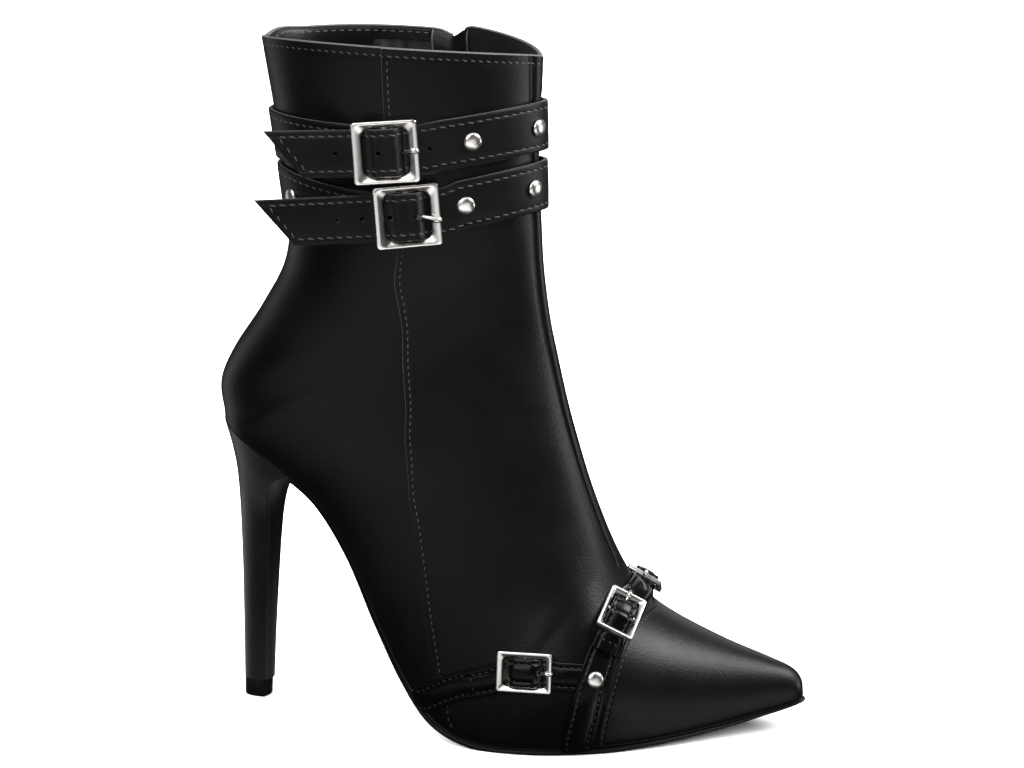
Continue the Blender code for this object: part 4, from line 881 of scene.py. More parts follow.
def strapRun(run, offsets):  # under-face points and outward directions for each offset across the strap
    rows, places, lift = run["rows"], run["places"], run["lift"]
    centre = skin(rows, places)
    out = skinOut(rows, places)
    across = unit(np.cross(out, unit(np.gradient(centre, axis=0))))
    length = lengthAlong(centre)
    slim = np.ones(len(rows))
    zones = []
    for frameAt, size in run["buckles"]:
        origin, along, side, up = frameAt
        close = int(np.argmin(np.linalg.norm(centre - origin, axis=-1)))
        away = np.abs(length - length[close])
        inside = size["length"] / 2 - away
        slim = slim - size["waist"] * ease((inside + strap["waistPast"]) / strap["waistEase"])
        mix = ease((inside + size["runOut"]) / strap["runEase"])
        lead = (centre - origin) @ along
        level = (centre + out * lift[:, None] - origin) @ up
        flat = run["tailLevel"] + (run["peak"] - run["tailLevel"]) * crest(lead, run["reach"])
        level = level + (flat - level) * ease(-lead / 3)
        zones.append((frameAt, mix[:, None], np.sign(np.dot(across[close], side)), lead, level))
    bases = []
    outs = []
    for offset in offsets:
        base, facing = edgeOffset(rows, places, across, offset * slim, run.get("least"))
        base = base + facing * lift[:, None]
        for (origin, along, side, up), mix, sign, lead, level in zones:
            sideways = (sign * offset * slim)[:, None]
            target = origin + lead[:, None] * along + sideways * side + level[:, None] * up
            base = base + (target - base) * mix
            facing = unit(facing + (up - facing) * mix)
        if run.get("loop"):  # a rounded loop over the front edge
            near = bump(places, strap["loopReach"])[:, None]
            front = unit(out[int(np.argmin(np.abs(places)))])
            base = base + (averaged(base, strap["loopSpread"]) - base + run["loop"] * front) * near
            facing = unit(facing + (averaged(facing, strap["loopSpread"]) - facing) * near)
        bases.append(base)
        outs.append(facing)
    bases = np.stack(bases, axis=1)
    outs = np.stack(outs, axis=1)
    if run.get("tuck"):  # the end turned in over the sole's edge
        turned = bases[:1] - outs[:1] * strap["tuckIn"] - np.array(strap["tuckDown"])
        bases = np.concatenate([turned, bases])
        outs = np.concatenate([outs[:1], outs])
    if run.get("tail"):
        reach, slant, rise = run["tail"]
        _, along, side, _ = run["buckles"][0][0]
        heading = unit(rise * side - along)
        share = np.array([offset / run["width"] + 0.5 for offset in offsets])
        if across[-1][2] < 0:
            share = 1 - share
        steps = np.linspace(0, 1, 28)[1:]
        reach = reach - slant * (1 - share)
        more = bases[-1][None] + heading[None, None] * (reach[None, :, None] * steps[:, None, None])
        bases = np.concatenate([bases, more])
        outs = np.concatenate([outs, np.repeat(outs[-1:], len(steps), axis=0)])
    return bases, outs


def trimmed(line, short, ends):  # drops the last millimetres at a line's free ends
    points, outs = line
    length = lengthAlong(points)
    keep = (length >= short * (0 in ends)) & (length <= length[-1] - short * (-1 in ends))
    return points[keep], outs[keep]


def strapSection(size):  # offset, height, cut edge or not, round the closed section
    half, thick, crown, cut = size["width"] / 2, size["thick"], size["crown"], size["cutEdge"]
    line = half - size["stitchIn"]
    groove = 0.14 + 0.3 * crown
    top = [(half, 0.35 * thick, cut), (half - 0.05, 0.68 * thick, cut), (half - 0.2, 0.9 * thick, 0),
           (half - 0.55, thick, 0), (line + 0.7, thick + 0.03, 0), (line + 0.25, thick - 0.04, 0),
           (line, thick - groove, 0), (line - 0.25, thick - 0.04, 0),
           (line - 0.8, thick + 0.5 * crown, 0), (half * 0.3, thick + crown, 0)]
    mirror = [(-offset, height, cut if offset > half - 0.1 else 0) for offset, height, _ in top[::-1]]
    return top + mirror + [(-half + 0.15, 0.0, 0), (0.0, 0.0, 0), (half - 0.15, 0.0, cut)]


def buildStrap(name, run, look, size, stands, slot="belt_leather"):
    section = strapSection(size)
    run["width"] = size["width"]
    offsets, heights, cut = zip(*section)
    bases, outs = strapRun(run, offsets)
    points, faces = loopSolid(bases + outs * np.array(heights)[None, :, None])
    faceLooks = list(cut) * (len(bases) - 1) + [size["cutEdge"]] * 2
    piece = addPiece(name, points, faces, [look, looks["edge"]], stands, slot, faceLooks=faceLooks, sharp=50)
    lines = []
    for side in (-1, 1):
        lineBase, lineOut = strapRun(run, [side * (size["width"] / 2 - size["stitchIn"])])
        line = lineBase[:, 0] + lineOut[:, 0] * (size["thick"] - 0.05), lineOut[:, 0]
        lines.append(trimmed(line, size["stitchIn"], run["freeEnds"]))
    (first, outA), (second, outB) = lines
    share = np.linspace(0, 1, 14)[:, None]
    for k in run["freeEnds"]:  # a line of stitches across each free end
        outs = outA[k] + (outB[k] - outA[k]) * share
        raised = outs * size["crown"] * np.sin(share * math.pi) ** 0.5
        lines.append((first[k] + (second[k] - first[k]) * share + raised, outs))
    return piece, lines


def evenRun(rows, places, step):
    turns = np.unwrap(places * math.pi) / math.pi
    points = skin(rows, places)
    length = lengthAlong(points)
    even = np.linspace(0, length[-1], int(length[-1] / step) + 2)
    return np.interp(even, length, rows), wrapRound(np.interp(even, length, turns)), even


def pathRun(path, step=1.2):
    table = np.array(path)
    place = lengthAlong(skin(table[:, 0], table[:, 1]))
    fine = curveThrough(np.column_stack([place, table]), np.linspace(0, place[-1], 500))
    return evenRun(fine[:, 0], fine[:, 1], step)


def bridgeLift(distance, at, before, after, peak, reach):  # rises over a buckle's centre bar
    side = 1 / (1 + np.exp(-np.clip((distance - at) / reach * 6, -40, 40)))
    base = before + (after - before) * side
    return base + (peak - base) * crest(distance - at, reach)


def frameOn(row, place, heading, facing=None):  # origin, along, across, outwards
    out = skinOut(row, place) if facing is None else unit(np.array(facing))
    along = unit(heading - out * np.dot(heading, out))
    return skin(row, place), along, np.cross(out, along), out


def inFrame(frameAt, local):
    origin, along, across, out = frameAt
    local = np.asarray(local, float)
    return origin + local[..., :1] * along + local[..., 1:2] * across + local[..., 2:3] * out


def nearestAt(run, row, place):
    gap = np.linalg.norm(skin(run[0], run[1]) - skin(row, place), axis=-1)
    return run[2][int(np.argmin(gap))]


# Metal: buckle frames, prongs and studs
def roundedRing(halfX, halfY, radius, steps=7):
    ring = []
    for sx, sy, start in ((1, 1, 0), (-1, 1, 90), (-1, -1, 180), (1, -1, 270)):
        for turn in np.radians(np.linspace(start, start + 90, steps)):
            ring.append((sx * (halfX - radius) + radius * math.cos(turn),
                         sy * (halfY - radius) + radius * math.sin(turn)))
    return np.array(ring)


def buildBuckle(name, frameAt, size, base, stands):
    section = ((0.0, 0.2), (0.0, 0.78), (0.05, 0.93), (0.14, 1.0), (0.36, 1.0), (0.44, 0.96), (0.84, 0.66),
               (0.95, 0.55), (1.0, 0.42), (1.0, 0.15), (0.9, 0.0), (0.12, 0.0))  # shares inwards and up
    rings = []
    for inward, height in section + section[:1]:
        halves = size["length"] / 2 - inward * size["bar"], size["width"] / 2 - inward * size["rail"]
        flat = roundedRing(*halves, size["corner"] + inward * size["inner"])
        rings.append(np.column_stack([flat, np.full(len(flat), base + height * size["depth"])]))
    rings = np.stack(rings)
    bar = []
    radius = size["bar"] * 0.34
    turn = roundTurn(14)
    for y in np.linspace(-1, 1, 9) * (size["width"] / 2 - size["rail"] * 0.6):
        bar.append(np.column_stack([radius * np.cos(turn), np.full(len(turn), y),
                                    base + size["depth"] * 0.3 + size["depth"] * 0.28 * np.sin(turn)]))
    barPoints, barFaces = loopSolid(np.stack(bar))
    ringFaces = gridFaces(len(rings), rings.shape[1], closed=True)
    points, faces = merged([(inFrame(frameAt, rings), ringFaces), (inFrame(frameAt, barPoints), barFaces)])
    addPiece(name, points, faces, looks["nickel"], stands, "nickel", sharp=32)


def buildProng(name, frameAt, start, finish, base, top, radius, stands, drift=0.0):
    bend = {"at": 0.62, "drift": 0.6, "rise": 0.9}
    eye = {"back": 1.2, "radius": 1.45}
    path = curveThrough(((0, start, 0, base),
                         (bend["at"], start + (finish - start) * bend["at"], drift * bend["drift"],
                          base + (top - base) * bend["rise"]),
                         (0.9, finish - 0.9, drift * 0.95, top + 0.05), (1.0, finish, drift, top - 0.15)),
                        np.linspace(0, 1, 22))
    rings = []
    turn = roundTurn(12)
    for k, (x, y, z) in enumerate(path):
        share = k / (len(path) - 1)
        size = radius * (1 - 0.2 * share) * math.sqrt(max(1 - max(share - 0.9, 0) ** 2 / 0.0104, 0.02))
        rings.append(np.column_stack([np.full(len(turn), x), y + size * np.cos(turn),
                                      z + size * np.sin(turn)]))
    loop = []  # the prong's eye round the frame's bar
    ring = roundTurn(8)
    wide = radius * 0.8 * np.cos(ring)
    out = eye["radius"] + radius * 0.55 * np.sin(ring)
    for turn in roundTurn(18):
        loop.append(np.column_stack([finish - eye["back"] + out * np.cos(turn), drift + wide * 1.4,
                                     top - eye["back"] + out * np.sin(turn)]))
    loop = np.stack(loop + loop[:1])
    eyeFaces = gridFaces(*loop.shape[:2], closed=True)
    points, faces = merged([loopSolid(np.stack(rings)), (loop, eyeFaces)])
    addPiece(name, inFrame(frameAt, points), faces, looks["nickel"], stands, "nickel")


def buildStud(name, frameAt, lift, stands, diameter=6.7, height=1.7):  # low polished dome
    section = [(0.97, 0.0), (1.0, 0.06), (1.0, 0.14)]
    section += [(math.cos(a) ** 0.8, 0.14 + 0.86 * math.sin(a)) for a in np.linspace(0.1, 1.5, 12)]
    turn = roundTurn(36)
    rings = []
    for share, up in section:
        radius = diameter / 2 * share
        rings.append(np.column_stack([radius * np.cos(turn), radius * np.sin(turn),
                                      np.full(len(turn), lift + height * up)]))
    points, faces = loopSolid(np.stack(rings))
    addPiece(name, inFrame(frameAt, points), faces, looks["nickel"], stands, "nickel", sharp=60)


def punch(piece, frameAt, holes, radius):  # round or long holes through a strap: along, across, length
    turn = roundTurn(18)
    parts = []
    for x, y, length in holes:
        rings = []
        for z in (-1.5, 14.0):
            side = np.column_stack([x + radius * np.cos(turn) + np.sign(np.cos(turn)) * length / 2,
                                    y + radius * np.sin(turn), np.full(len(turn), z)])
            rings.append(inFrame(frameAt, side))
        parts.append(loopSolid(np.stack(rings)))
    cutter = addPiece(piece.name + "_punch", *merged(parts), looks["edge"])
    cut = piece.modifiers.new("punch", "BOOLEAN")
    cut.operation = "DIFFERENCE"
    cut.solver = "EXACT"
    cut.object = cutter
    shown = piece.evaluated_get(bpy.context.evaluated_depsgraph_get())
    piece.data = bpy.data.meshes.new_from_object(shown)
    piece.data.set_sharp_from_angle(angle=math.radians(45))
    piece.modifiers.clear()
    bpy.data.objects.remove(cutter, do_unlink=True)


# Ankle belts
beltTable = {
    "upper_belt": {"frontZ": 229.0, "sideZ": 222.4, "backZ": 224.4, "buckleAt": 0.50, "tail": 43.5,
                   "prongFrom": 6.6, "drift": 0.0, "heading": (0.979, 0.179, 0.066),
                   "facing": (0.177, -0.981, 0.034), "studs": {"side": 0.297, "front": 0.086},
                   "holes": (-18.2, -2.4, 15.6)},
    "lower_belt": {"frontZ": 207.4, "sideZ": 198.2, "backZ": 204.2, "buckleAt": 0.453, "tail": 54.5,
                   "prongFrom": 3.2, "drift": -2.0, "heading": (0.94, 0.33, 0.07),
                   "facing": (0.32, -0.945, 0.05), "studs": {"side": 0.313, "front": 0.10, "rear": 0.805},
                   "holes": (-25.2, -16.2, -6.3)},
}
threads = {"belt": [], "forefoot": []}  # stitch lines, gathered as the straps are made


def beltHeight(belt, place):
    share = np.abs(wrapRound(place))
    fore = belt["sideZ"] + (belt["frontZ"] - belt["sideZ"]) * np.abs(np.cos(share * math.pi)) ** 1.2
    rear = belt["sideZ"] + (belt["backZ"] - belt["sideZ"]) * np.sin((share - 0.5) * math.pi) ** 2
    return np.where(share < 0.5, fore, rear)


def beltPath(belt, start, finish, count):
    places = wrapRound(np.linspace(start, finish, count))
    target = beltHeight(belt, places)

    def under(rows):
        return skin(rows, places)[:, 2] < target

    return halved(np.full(count, belts["lowestRow"]), np.full(count, collarRow), under), places


def buildBelt(name, belt):
    at = belt["buckleAt"]
    half = beltBuckle["length"] / 2
    reach = half - 3.0
    atRow = float(beltPath(belt, at, at, 1)[0][0])
    frameAt = frameOn(atRow, at, np.array(belt["heading"]), belt["facing"])
    zipAt = float(zipPlace(beltPath(belt, -0.4, -0.4, 1)[0])[0])
    underBar = belts["lift"] + belts["thick"] + strap["gap"]
    base = underBar + belts["thick"] + strap["gap"]
    overBar = base + beltBuckle["depth"] + strap["gap"] + 0.2
    rows, places, _ = evenRun(*beltPath(belt, at - 0.02, 2 - zipAt - belts["zipMargin"], 220), 1.4)
    rear = {"rows": rows, "places": places, "lift": np.full(len(rows), belts["lift"]), "buckles": [],
            "freeEnds": ()}
    whole = evenRun(*beltPath(belt, -zipAt + belts["zipMargin"], at + 0.16, 260), 1.2)
    buckleAt = nearestAt(whole, atRow, at)
    rows, places, along = (values[whole[2] <= buckleAt + half - 1] for values in whole)
    lift = bridgeLift(along, buckleAt, belts["lift"], underBar, overBar, reach)
    front = {"rows": rows, "places": places, "lift": lift, "buckles": [(frameAt, beltBuckle)],
             "freeEnds": (-1,), "tailLevel": underBar, "peak": overBar, "reach": reach,
             "loop": belts["loop"],
             "tail": (belt["tail"] - half + 1, belts["slant"], belts["tailRise"])}
    for label, run in (("_rear", rear), ("_front", front)):
        piece, lines = buildStrap(name + label + "_leather", run, looks["belt"], belts, (name + label,))
        threads["belt"].extend((line, *belts["stitch"]) for line in lines)
    holes = [(x, belts["tailRise"] * max(0.0, -x - half + 1), 0.0) for x in belt["holes"]]
    punch(piece, frameAt, holes + [(belt["prongFrom"] + 0.6, 0.0, 1.2)], 0.85)
    buildBuckle(name + "_buckle_frame", frameAt, beltBuckle, base, (name + "_buckle",))
    top = base + beltBuckle["depth"] + strap["gap"] + 0.9
    buildProng(name + "_prong_rod", frameAt, belt["prongFrom"], half - 0.2, base + 1.0, top, 0.85,
               (name + "_prong",), belt["drift"])
    for label, place in belt["studs"].items():
        run = rear if label == "rear" else front
        k = int(np.argmin(np.abs(run["places"] - place)))
        bases, outs = strapRun(run, [0.0])
        out = outs[k, 0]
        along = unit(np.cross(np.array([0.0, 0.0, 1.0]), out))
        buildStud(name + "_stud_dome_" + label, (bases[k, 0], along, np.cross(out, along), out),
                  belts["thick"] + 0.1, (name + "_stud_" + label,))


for beltName, beltValues in beltTable.items():
    buildBelt(beltName, beltValues)
print("ankle belts")


# Vamp and side straps, as section row and place round it
vampLateral = ((6.36, 0.97), (6.39, 0.80), (6.42, 0.55), (6.52, 0.40), (6.56, 0.295), (6.53, 0.196),
               (6.52, 0.174))
vampBridge = ((6.56, 0.316), (6.56, 0.27), (6.53, 0.196), (6.32, 0.0), (6.40, -0.196), (6.40, -0.27),
              (6.40, -0.316))
vampMedial = ((6.34, -0.97), (6.36, -0.80), (6.38, -0.55), (6.40, -0.40), (6.42, -0.295), (6.40, -0.196),
              (6.39, -0.174))
sideRear = ((9.72, 0.97), (9.56, 0.86), (9.33, 0.70), (8.80, 0.535), (8.05, 0.44), (7.85, 0.43))
sideFront = ((6.72, 0.404), (7.0, 0.411), (7.32, 0.421), (8.05, 0.44), (8.80, 0.535), (8.98, 0.58))
vampSpots = {"lateral": (6.53, 0.196), "medial": (6.40, -0.196)}
vampStuds = {"lateral": (6.50, 0.40), "medial": (6.44, -0.40)}
vampHeading = (0.131, 0.892, 0.434)
vampFacing = (0.424, -0.446, 0.788)
sideSpot = (8.05, 0.44)
sideTurn = -0.044  # the side buckle's toe end dips
smallProng = {"from": 6.4, "radius": 0.65, "hole": (6.6, 0.0, 1.2), "holeRadius": 0.7}


def pathFrame(path, spot, reach=9):  # a buckle's place, heading back along its strap
    run = pathRun(path, 0.3)
    near = np.abs(run[2] - nearestAt(run, *spot)) < reach
    points = skin(run[0], run[1])[near]
    heading = unit(points[0] - points[-1])
    return frameOn(*spot, heading + sideTurn * np.cross(skinOut(*spot), heading))


def besideVamp(places):  # the row where the vamp strap's rear edge lies
    path = np.array(vampLateral)
    row = np.interp(places, path[::-1, 1], path[::-1, 0])
    return row + (vamps["width"] / 2 + 0.1) / rowSpeed(row, places)


def smallStrap(name, path, lift, frames, size, metal, ends=(0, 0), freeEnds=(), least=None):
    run = pathRun(path)
    values = {"rows": run[0], "places": run[1], "lift": lift(run), "freeEnds": freeEnds, "least": least,
              "tailLevel": ends[0], "peak": ends[1], "reach": metal["length"] / 2 - metal["end"],
              "buckles": [(frameAt, metal) for frameAt in frames], "tuck": not frames}
    piece, lines = buildStrap(name + "_leather", values, looks["gloss"], size, (name,), "glossy_strap")
    threads["forefoot"].extend((line, *forefootStitch) for line in lines)
    return piece


def flatLift(run):
    return np.full(len(run[0]), smalls["lift"])


def smallMetal(label, piece, frameAt, base, stands, size):
    punch(piece, frameAt, [smallProng["hole"]], smallProng["holeRadius"])
    buildBuckle(label + "_buckle_frame", frameAt, size, base, (stands[0],))
    top = base + size["depth"] + strap["gap"] + 0.7
    buildProng(label + "_prong_rod", frameAt, smallProng["from"], size["length"] / 2 - 0.1, base + 0.9, top,
               smallProng["radius"], (stands[1],))


def buildVamp():
    over = vamps["lift"] + vamps["thick"] + vamps["crown"] + 0.1
    base = over + vamps["thick"] + 0.3
    peak = base + vampBuckle["depth"] + strap["gap"] + 0.2
    reach = vampBuckle["length"] / 2 - vampBuckle["end"]
    ridgeLift = vamps["lift"] + 0.45
    mirror = np.array([1.0, -1.0, 1.0])
    frames = {"lateral": frameOn(*vampSpots["lateral"], np.array(vampHeading), vampFacing),
              "medial": frameOn(*vampSpots["medial"], vampHeading * mirror, vampFacing * mirror)}
    for label, path in (("lateral", vampLateral), ("medial", vampMedial)):
        smallStrap("vamp_strap_" + label, path, flatLift, [], vamps, vampBuckle)

    def bridge(run):
        first, second = (nearestAt(run, *spot) for spot in vampSpots.values())
        left = bridgeLift(run[2], first, over, ridgeLift, peak, reach)
        right = bridgeLift(run[2], second, ridgeLift, over, peak, reach)
        return np.where(run[2] < (first + second) / 2, left, right)

    piece = smallStrap("vamp_strap_bridge", vampBridge, bridge, list(frames.values()), vamps, vampBuckle,
                       (over, peak), (0, -1))
    for label, frameAt in frames.items():
        smallMetal("vamp_" + label, piece, frameAt, base, ("vamp_buckle_" + label, "vamp_prong_" + label),
                   vampBuckle)
    lift = vamps["lift"] + vamps["thick"] + vamps["crown"]
    for label, spot in vampStuds.items():
        buildStud("vamp_stud_dome_" + label, frameOn(*spot, np.array([1.0, 0.0, 0.0])), lift,
                  ("vamp_stud_" + label,), 6.3)


def buildSide():
    over = smalls["lift"] + smalls["thick"] + smalls["crown"] + 0.1
    base = over + smalls["thick"] - 0.2
    peak = base + smallBuckle["depth"] + strap["gap"] + 0.3
    reach = smallBuckle["length"] / 2 - smallBuckle["end"]
    frameAt = pathFrame(sideFront, sideSpot)
    smallStrap("side_strap_rear", sideRear, flatLift, [], smalls, smallBuckle)

    def rise(run):
        return bridgeLift(run[2], nearestAt(run, *sideSpot), smalls["lift"], over, peak, reach)

    piece = smallStrap("side_strap_front", sideFront, rise, [frameAt], smalls, smallBuckle,
                       (over, peak), (-1,), besideVamp)
    smallMetal("side", piece, frameAt, base, ("side_buckle", "side_prong"), smallBuckle)


buildVamp()
buildSide()
print("forefoot straps")


# Zip on the inner side: tapes, teeth, slider and pull
zipSizes = {"toothPitch": 1.5, "tooth": (2.0, 0.8, 0.7), "toothAside": 0.55, "tape": 3.1}
tapeSection = ((-1, 0.75), (-0.35, 0.65), (0, 0.7), (0.35, 0.65), (1, 0.75), (1, 1.5),
               (-1, 1.5))  # share of the tape's half, inset


def buildZip():
    row = np.linspace(upper["zipBottom"] + 0.04, upper["zipTop"], 150)
    line = zipPlace(row)
    perMm = 1 / roundSpeed(row, -line)
    rings = []
    for across, inset in tapeSection:
        rings.append(skin(row, -(line + across * zipSizes["tape"] * perMm), inset))
    addPiece("zip_tape", *loopSolid(np.stack(rings, axis=1)), looks["tape"], ("zip_strip",), "zip_tape")
    spots, along, out = resample(skin(row, -line, 0.6), skinOut(row, -line), zipSizes["toothPitch"])
    square = ((-0.5, -0.5), (0.5, -0.5), (0.5, 0.5), (-0.5, 0.5))
    corners = np.array([(x, y, z) for z in (-0.5, 0.5) for x, y in square])
    box = [(0, 1, 2, 3), (4, 5, 6, 7), (0, 1, 5, 4), (1, 2, 6, 5), (2, 3, 7, 6), (3, 0, 4, 7)]
    parts = []
    for k, (spot, ahead, up) in enumerate(zip(spots, along, out)):
        side = np.cross(up, ahead)
        sign = 1 if k % 2 else -1
        local = corners * np.array(zipSizes["tooth"])
        local[:, 0] += sign * zipSizes["toothAside"]
        local[:, 1] *= np.where(local[:, 0] * sign < 0.2, 0.75, 1.0)  # narrower at the root
        parts.append((spot + local[:, :1] * side + local[:, 1:2] * ahead + local[:, 2:] * up, box))
    addPiece("zip_teeth", *merged(parts), looks["nickel"], slot="nickel", sharp=30)


def softBox(name, frameAt, grid, filled, stands, body):  # filled cells of a small grid, edges rounded over
    index = {}
    points = []
    faces = []
    cells = {cell for cell in np.ndindex(*(len(steps) - 1 for steps in grid)) if filled(*cell)}
    sides = (((-1, 0, 0), "000 001 011 010"), ((1, 0, 0), "100 110 111 101"),
             ((0, -1, 0), "000 100 101 001"), ((0, 1, 0), "010 011 111 110"),
             ((0, 0, -1), "000 010 110 100"), ((0, 0, 1), "001 101 111 011"))
    for cell in sorted(cells):
        for step, corners in sides:
            if tuple(np.add(cell, step)) in cells:
                continue
            face = []
            for corner in corners.split():
                key = tuple(cell[k] + int(corner[k]) for k in range(3))
                if key not in index:
                    index[key] = len(points)
                    points.append([grid[k][key[k]] for k in range(3)])
                face.append(index[key])
            faces.append(face)
    soften(addPiece(name, inFrame(frameAt, points), faces, looks["nickel"], stands, "nickel", body), 0.22)


def buildSlider():
    slider = {"row": 25.4, "hinge": (75.869, 34.516, 243.471), "axis": (-0.979612, 0.200901, 0.0),
              "hingeOut": 2.5,
              "body": ((-3.1, -0.8, 0.8, 3.1), (-4.6, -3.0, -2.1, 2.1, 3.0, 4.6), (0.3, 1.7, 3.3, 4.3)),
              "pull": ((-2.1, -1.1, 1.1, 2.1), (-19.0, -17.2, -15.4, -3.7, -0.5, 0.5), (-0.5, 0.5))}
    place = -float(zipPlace(np.array([slider["row"]]))[0])
    hinge = np.array(slider["hinge"])
    across = np.array(slider["axis"])
    out = skinOut(slider["row"], place)
    out = unit(out - across * (out @ across))
    frameAt = (hinge - out * slider["hingeOut"], across, np.cross(out, across), out)

    def inBody(i, j, k):  # the plate, and the bridge that holds the pull
        return k == 0 or (i == 1 and j in (1, 2, 3) and (k == 2 or j in (1, 3)))

    def inPull(i, j, k):  # a bar with a window at each end
        return not (i == 1 and j in (1, 3))

    softBox("zip_slider_body", frameAt, slider["body"], inBody, ("zip_slider",), "boot")
    level = unit(np.array([out[0], out[1], 0.0]))
    hang = (hinge, across, np.array([0.0, 0.0, 1.0]), level)
    softBox("zip_pull_tab", hang, slider["pull"], inPull, ("zip_pull",), "zip_pull")


buildZip()
buildSlider()
print("zip")


# Stitches: one bowed thread for each hole pair
stitch = {"radius": 0.29, "lean": -14.0, "sink": 0.1, "toe": (2.5, 0.66), "zipAside": 5.6}
stitchRings = ((-0.5, 0.25, -0.6), (-0.42, 0.8, -0.2), (-0.2, 1.0, 0.1), (0.2, 1.0, 0.1), (0.42, 0.8, -0.2),
               (0.5, 0.25, -0.6))  # share of the length, of the radius, lift


def stitchParts(line, pitch, lean, fill=0.66):
    spots, along, out = resample(np.asarray(line[0]), np.asarray(line[1]), pitch)
    side = unit(np.cross(out, along))
    turn = math.radians(lean)
    ahead = along * math.cos(turn) + side * math.sin(turn)
    side = unit(np.cross(out, ahead))
    turnSteps = roundTurn(6)
    shape = []
    for x, size, up in stitchRings:
        shape.append(np.column_stack([np.full(len(turnSteps), x * (fill * pitch)),
                                      stitch["radius"] * size * np.cos(turnSteps),
                                      stitch["radius"] * (size * np.sin(turnSteps) + up)]))
    local, faces = loopSolid(np.stack(shape))
    return [(spot + local[:, :1] * a + local[:, 1:2] * s + (local[:, 2:] - stitch["sink"]) * o, faces)
            for spot, a, s, o in zip(spots, ahead, side, out)]


def wallLine(rows, places):  # stitched line on the upper's leather
    out = skinOut(rows, places)
    return skin(rows, places) + out * upperRelief(rows, places)[:, None], out


def buildStitches():
    place = np.linspace(-0.95, 0.95, 180)
    edge = toeEdge(place)
    toeLine = wallLine(edge - upper["toeStitch"] / rowSpeed(edge, place), place)
    threads["forefoot"].append((toeLine, *stitch["toe"]))
    for label, look in (("belt", "thread"), ("forefoot", "darkThread")):
        parts = []
        for line, pitch, fill in threads[label]:
            parts += stitchParts(line, pitch, stitch["lean"], fill)
        addPiece(label + "_stitches", *merged(parts), looks[look])
    row = np.linspace(seamCut + 0.15, collarRow - 0.16, 300)
    parts = stitchParts(wallLine(row, besideSeam(row, upper["seamStitch"])), 2.6, -8, 0.62)
    zipAt = float(zipPlace(np.array([collarRow]))[0])
    front = np.concatenate([-np.linspace(0, zipAt - 0.06, 60)[::-1], np.linspace(0, 1, 130)[1:]])
    back = -np.linspace(zipAt + 0.06, 1, 70)[::-1]
    for span in (front, back):
        speed = np.linalg.norm(skin(collarRow, span) - skin(collarRow - 0.3, span), axis=-1) / 0.3
        parts += stitchParts(wallLine(collarRow - upper["collarStitch"] / speed, span), 3.0, -16)
    for line in facingLines:
        parts += stitchParts(line, 3.2, 4)
    row = np.linspace(upper["zipBottom"], collarRow - 0.4, 200)
    line = zipPlace(row)
    for side in (-1, 1):
        aside = side * stitch["zipAside"] / roundSpeed(row, -line)
        parts += stitchParts(wallLine(row, -(line + aside)), 3.0, 4)
    addPiece("upper_stitches", *merged(parts), looks["thread"])


buildStitches()
print("stitches")


# Studio: white floor, lights and the photograph's camera
camera = {"azimuth": 12.55, "elevation": 13.81, "distance": 965.0, "target": (100.0, 0.0, 130.0),
          "lens": 90.4, "sensor": 36, "shiftX": 0.0058, "shiftY": 0.0017}
studio = {"floorHalf": 8, "floorZ": -0.0002, "wash": 12.0, "washAngle": 150, "washFrom": (-0.5, -0.2, 1.5),
          "world": 0.03}
lamps = (  # name, place in mm about the boot, aim, size in mm, watts, what it lights
    ("key", (-300, -1100, 900), (60, 0, 120), (900, 900), 3.8, "boot goods"),
    ("floor card", (50, -515, -3), (50, -515, 500), (900, 570), 1.0, "boot goods"),
    ("left", (-1000, 420, 60), (0, 0, 130), (450, 900), 0.8, "boot goods"),
    ("right", (1150, 310, 110), (110, 0, 150), (340, 360), 1.6, "boot goods"),
    ("toe", (830, 100, 760), (150, 0, 40), (520, 520), 7.5, "boot goods"),
    ("top", (60, -100, 1250), (80, 0, 200), (1000, 1000), 6.0, "boot goods"),
    ("toe glow", (520, -240, -175), (180, -20, 15), (250, 200), 0.15, "boot goods"),
    ("back fill", (60, 1150, 520), (80, 0, 120), (900, 900), 2.0, "boot goods"),
    ("heel side", (-800, 0, -60), (0, 0, 80), (900, 500), 0.95, "heel goods"),
    ("heel card", (-75, 10, -3), (-75, 10, 400), (350, 160), 0.06, "heel goods"),
    ("metal front", (330, -980, -120), (80, 0, 140), (1500, 700), 3.4, "metal goods"),
    ("metal top", (-250, -700, 900), (80, 0, 140), (900, 500), 4.0, "metal goods"),
)


def pointAt(piece, place, aim):
    piece.location = place
    piece.rotation_euler = (Vector(aim) - Vector(place)).to_track_quat("-Z", "Y").to_euler()


def toRow(point):
    return tuple((np.array(point, float) - rowShift) * metres)


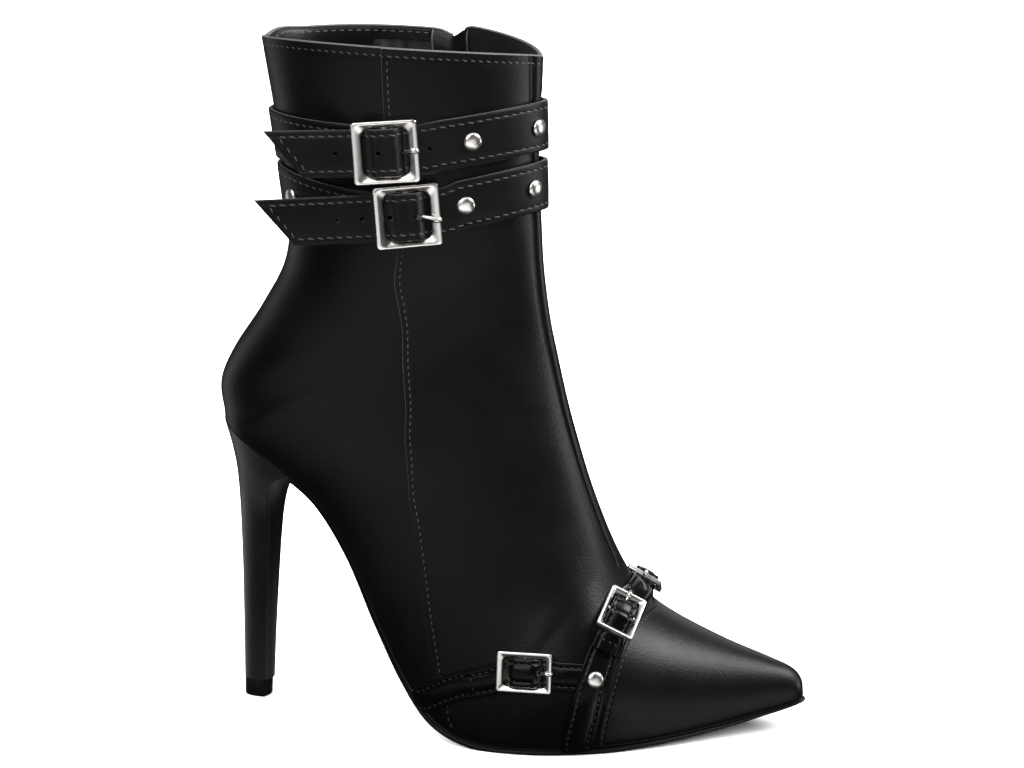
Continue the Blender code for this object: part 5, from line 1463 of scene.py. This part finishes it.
def buildStudio():
    paper = plainLook("white paper", {"Base Color": (0.93, 0.93, 0.93, 1), "Roughness": 0.9})
    addRange(paper, addNoise(paper, 5, 2), 0.86, 0.94, "Roughness")
    half = studio["floorHalf"]
    floorMesh = bpy.data.meshes.new("floor")
    corners = [(-half, -half, 0), (half, -half, 0), (half, half, 0), (-half, half, 0)]
    floorMesh.from_pydata(corners, [], [(0, 1, 2, 3)])
    floorMesh.materials.append(paper)
    floor = bpy.data.objects.new("floor", floorMesh)
    floor.location.z = studio["floorZ"]
    floor.visible_glossy = False
    floor.visible_diffuse = False
    floor.visible_shadow = False
    scene.collection.objects.link(floor)
    receivers["floor"] = bpy.data.collections.new("floor")
    receivers["floor"].objects.link(floor)
    wash = bpy.data.lights.new("floor wash", "SUN")
    wash.energy = studio["wash"]
    wash.angle = math.radians(studio["washAngle"])
    sun = bpy.data.objects.new("floor wash", wash)
    scene.collection.objects.link(sun)
    pointAt(sun, studio["washFrom"], (0, 0, 0))
    sun.light_linking.receiver_collection = receivers["floor"]
    for name, place, aim, size, watts, goods in lamps:
        data = bpy.data.lights.new(name, "AREA")
        data.shape = "RECTANGLE"
        data.size = size[0] * metres
        data.size_y = size[1] * metres
        data.energy = watts
        lamp = bpy.data.objects.new(name, data)
        scene.collection.objects.link(lamp)
        lamp.light_linking.receiver_collection = receivers[goods]
        pointAt(lamp, toRow(place), toRow(aim))
    world = bpy.data.worlds.new("studio")
    world.use_nodes = True
    sky = world.node_tree.nodes["Background"]
    sky.inputs["Color"].default_value = (1, 1, 1, 1)
    sky.inputs["Strength"].default_value = studio["world"]
    scene.world = world
    scene.view_settings.view_transform = "Standard"


def buildCamera():
    data = bpy.data.cameras.new("photo camera")
    data.lens = camera["lens"]
    data.sensor_width = camera["sensor"]
    data.shift_x = camera["shiftX"]
    data.shift_y = camera["shiftY"]
    turn = math.radians(camera["azimuth"])
    rise = math.radians(camera["elevation"])
    away = np.array([math.sin(turn) * math.cos(rise), -math.cos(turn) * math.cos(rise), math.sin(rise)])
    target = np.array(camera["target"])
    shot = bpy.data.objects.new("photo camera", data)
    scene.collection.objects.link(shot)
    pointAt(shot, toRow(target + away * camera["distance"]), toRow(target))
    scene.camera = shot


buildStudio()
buildCamera()
bpy.context.view_layer.update()
print("scene ready")
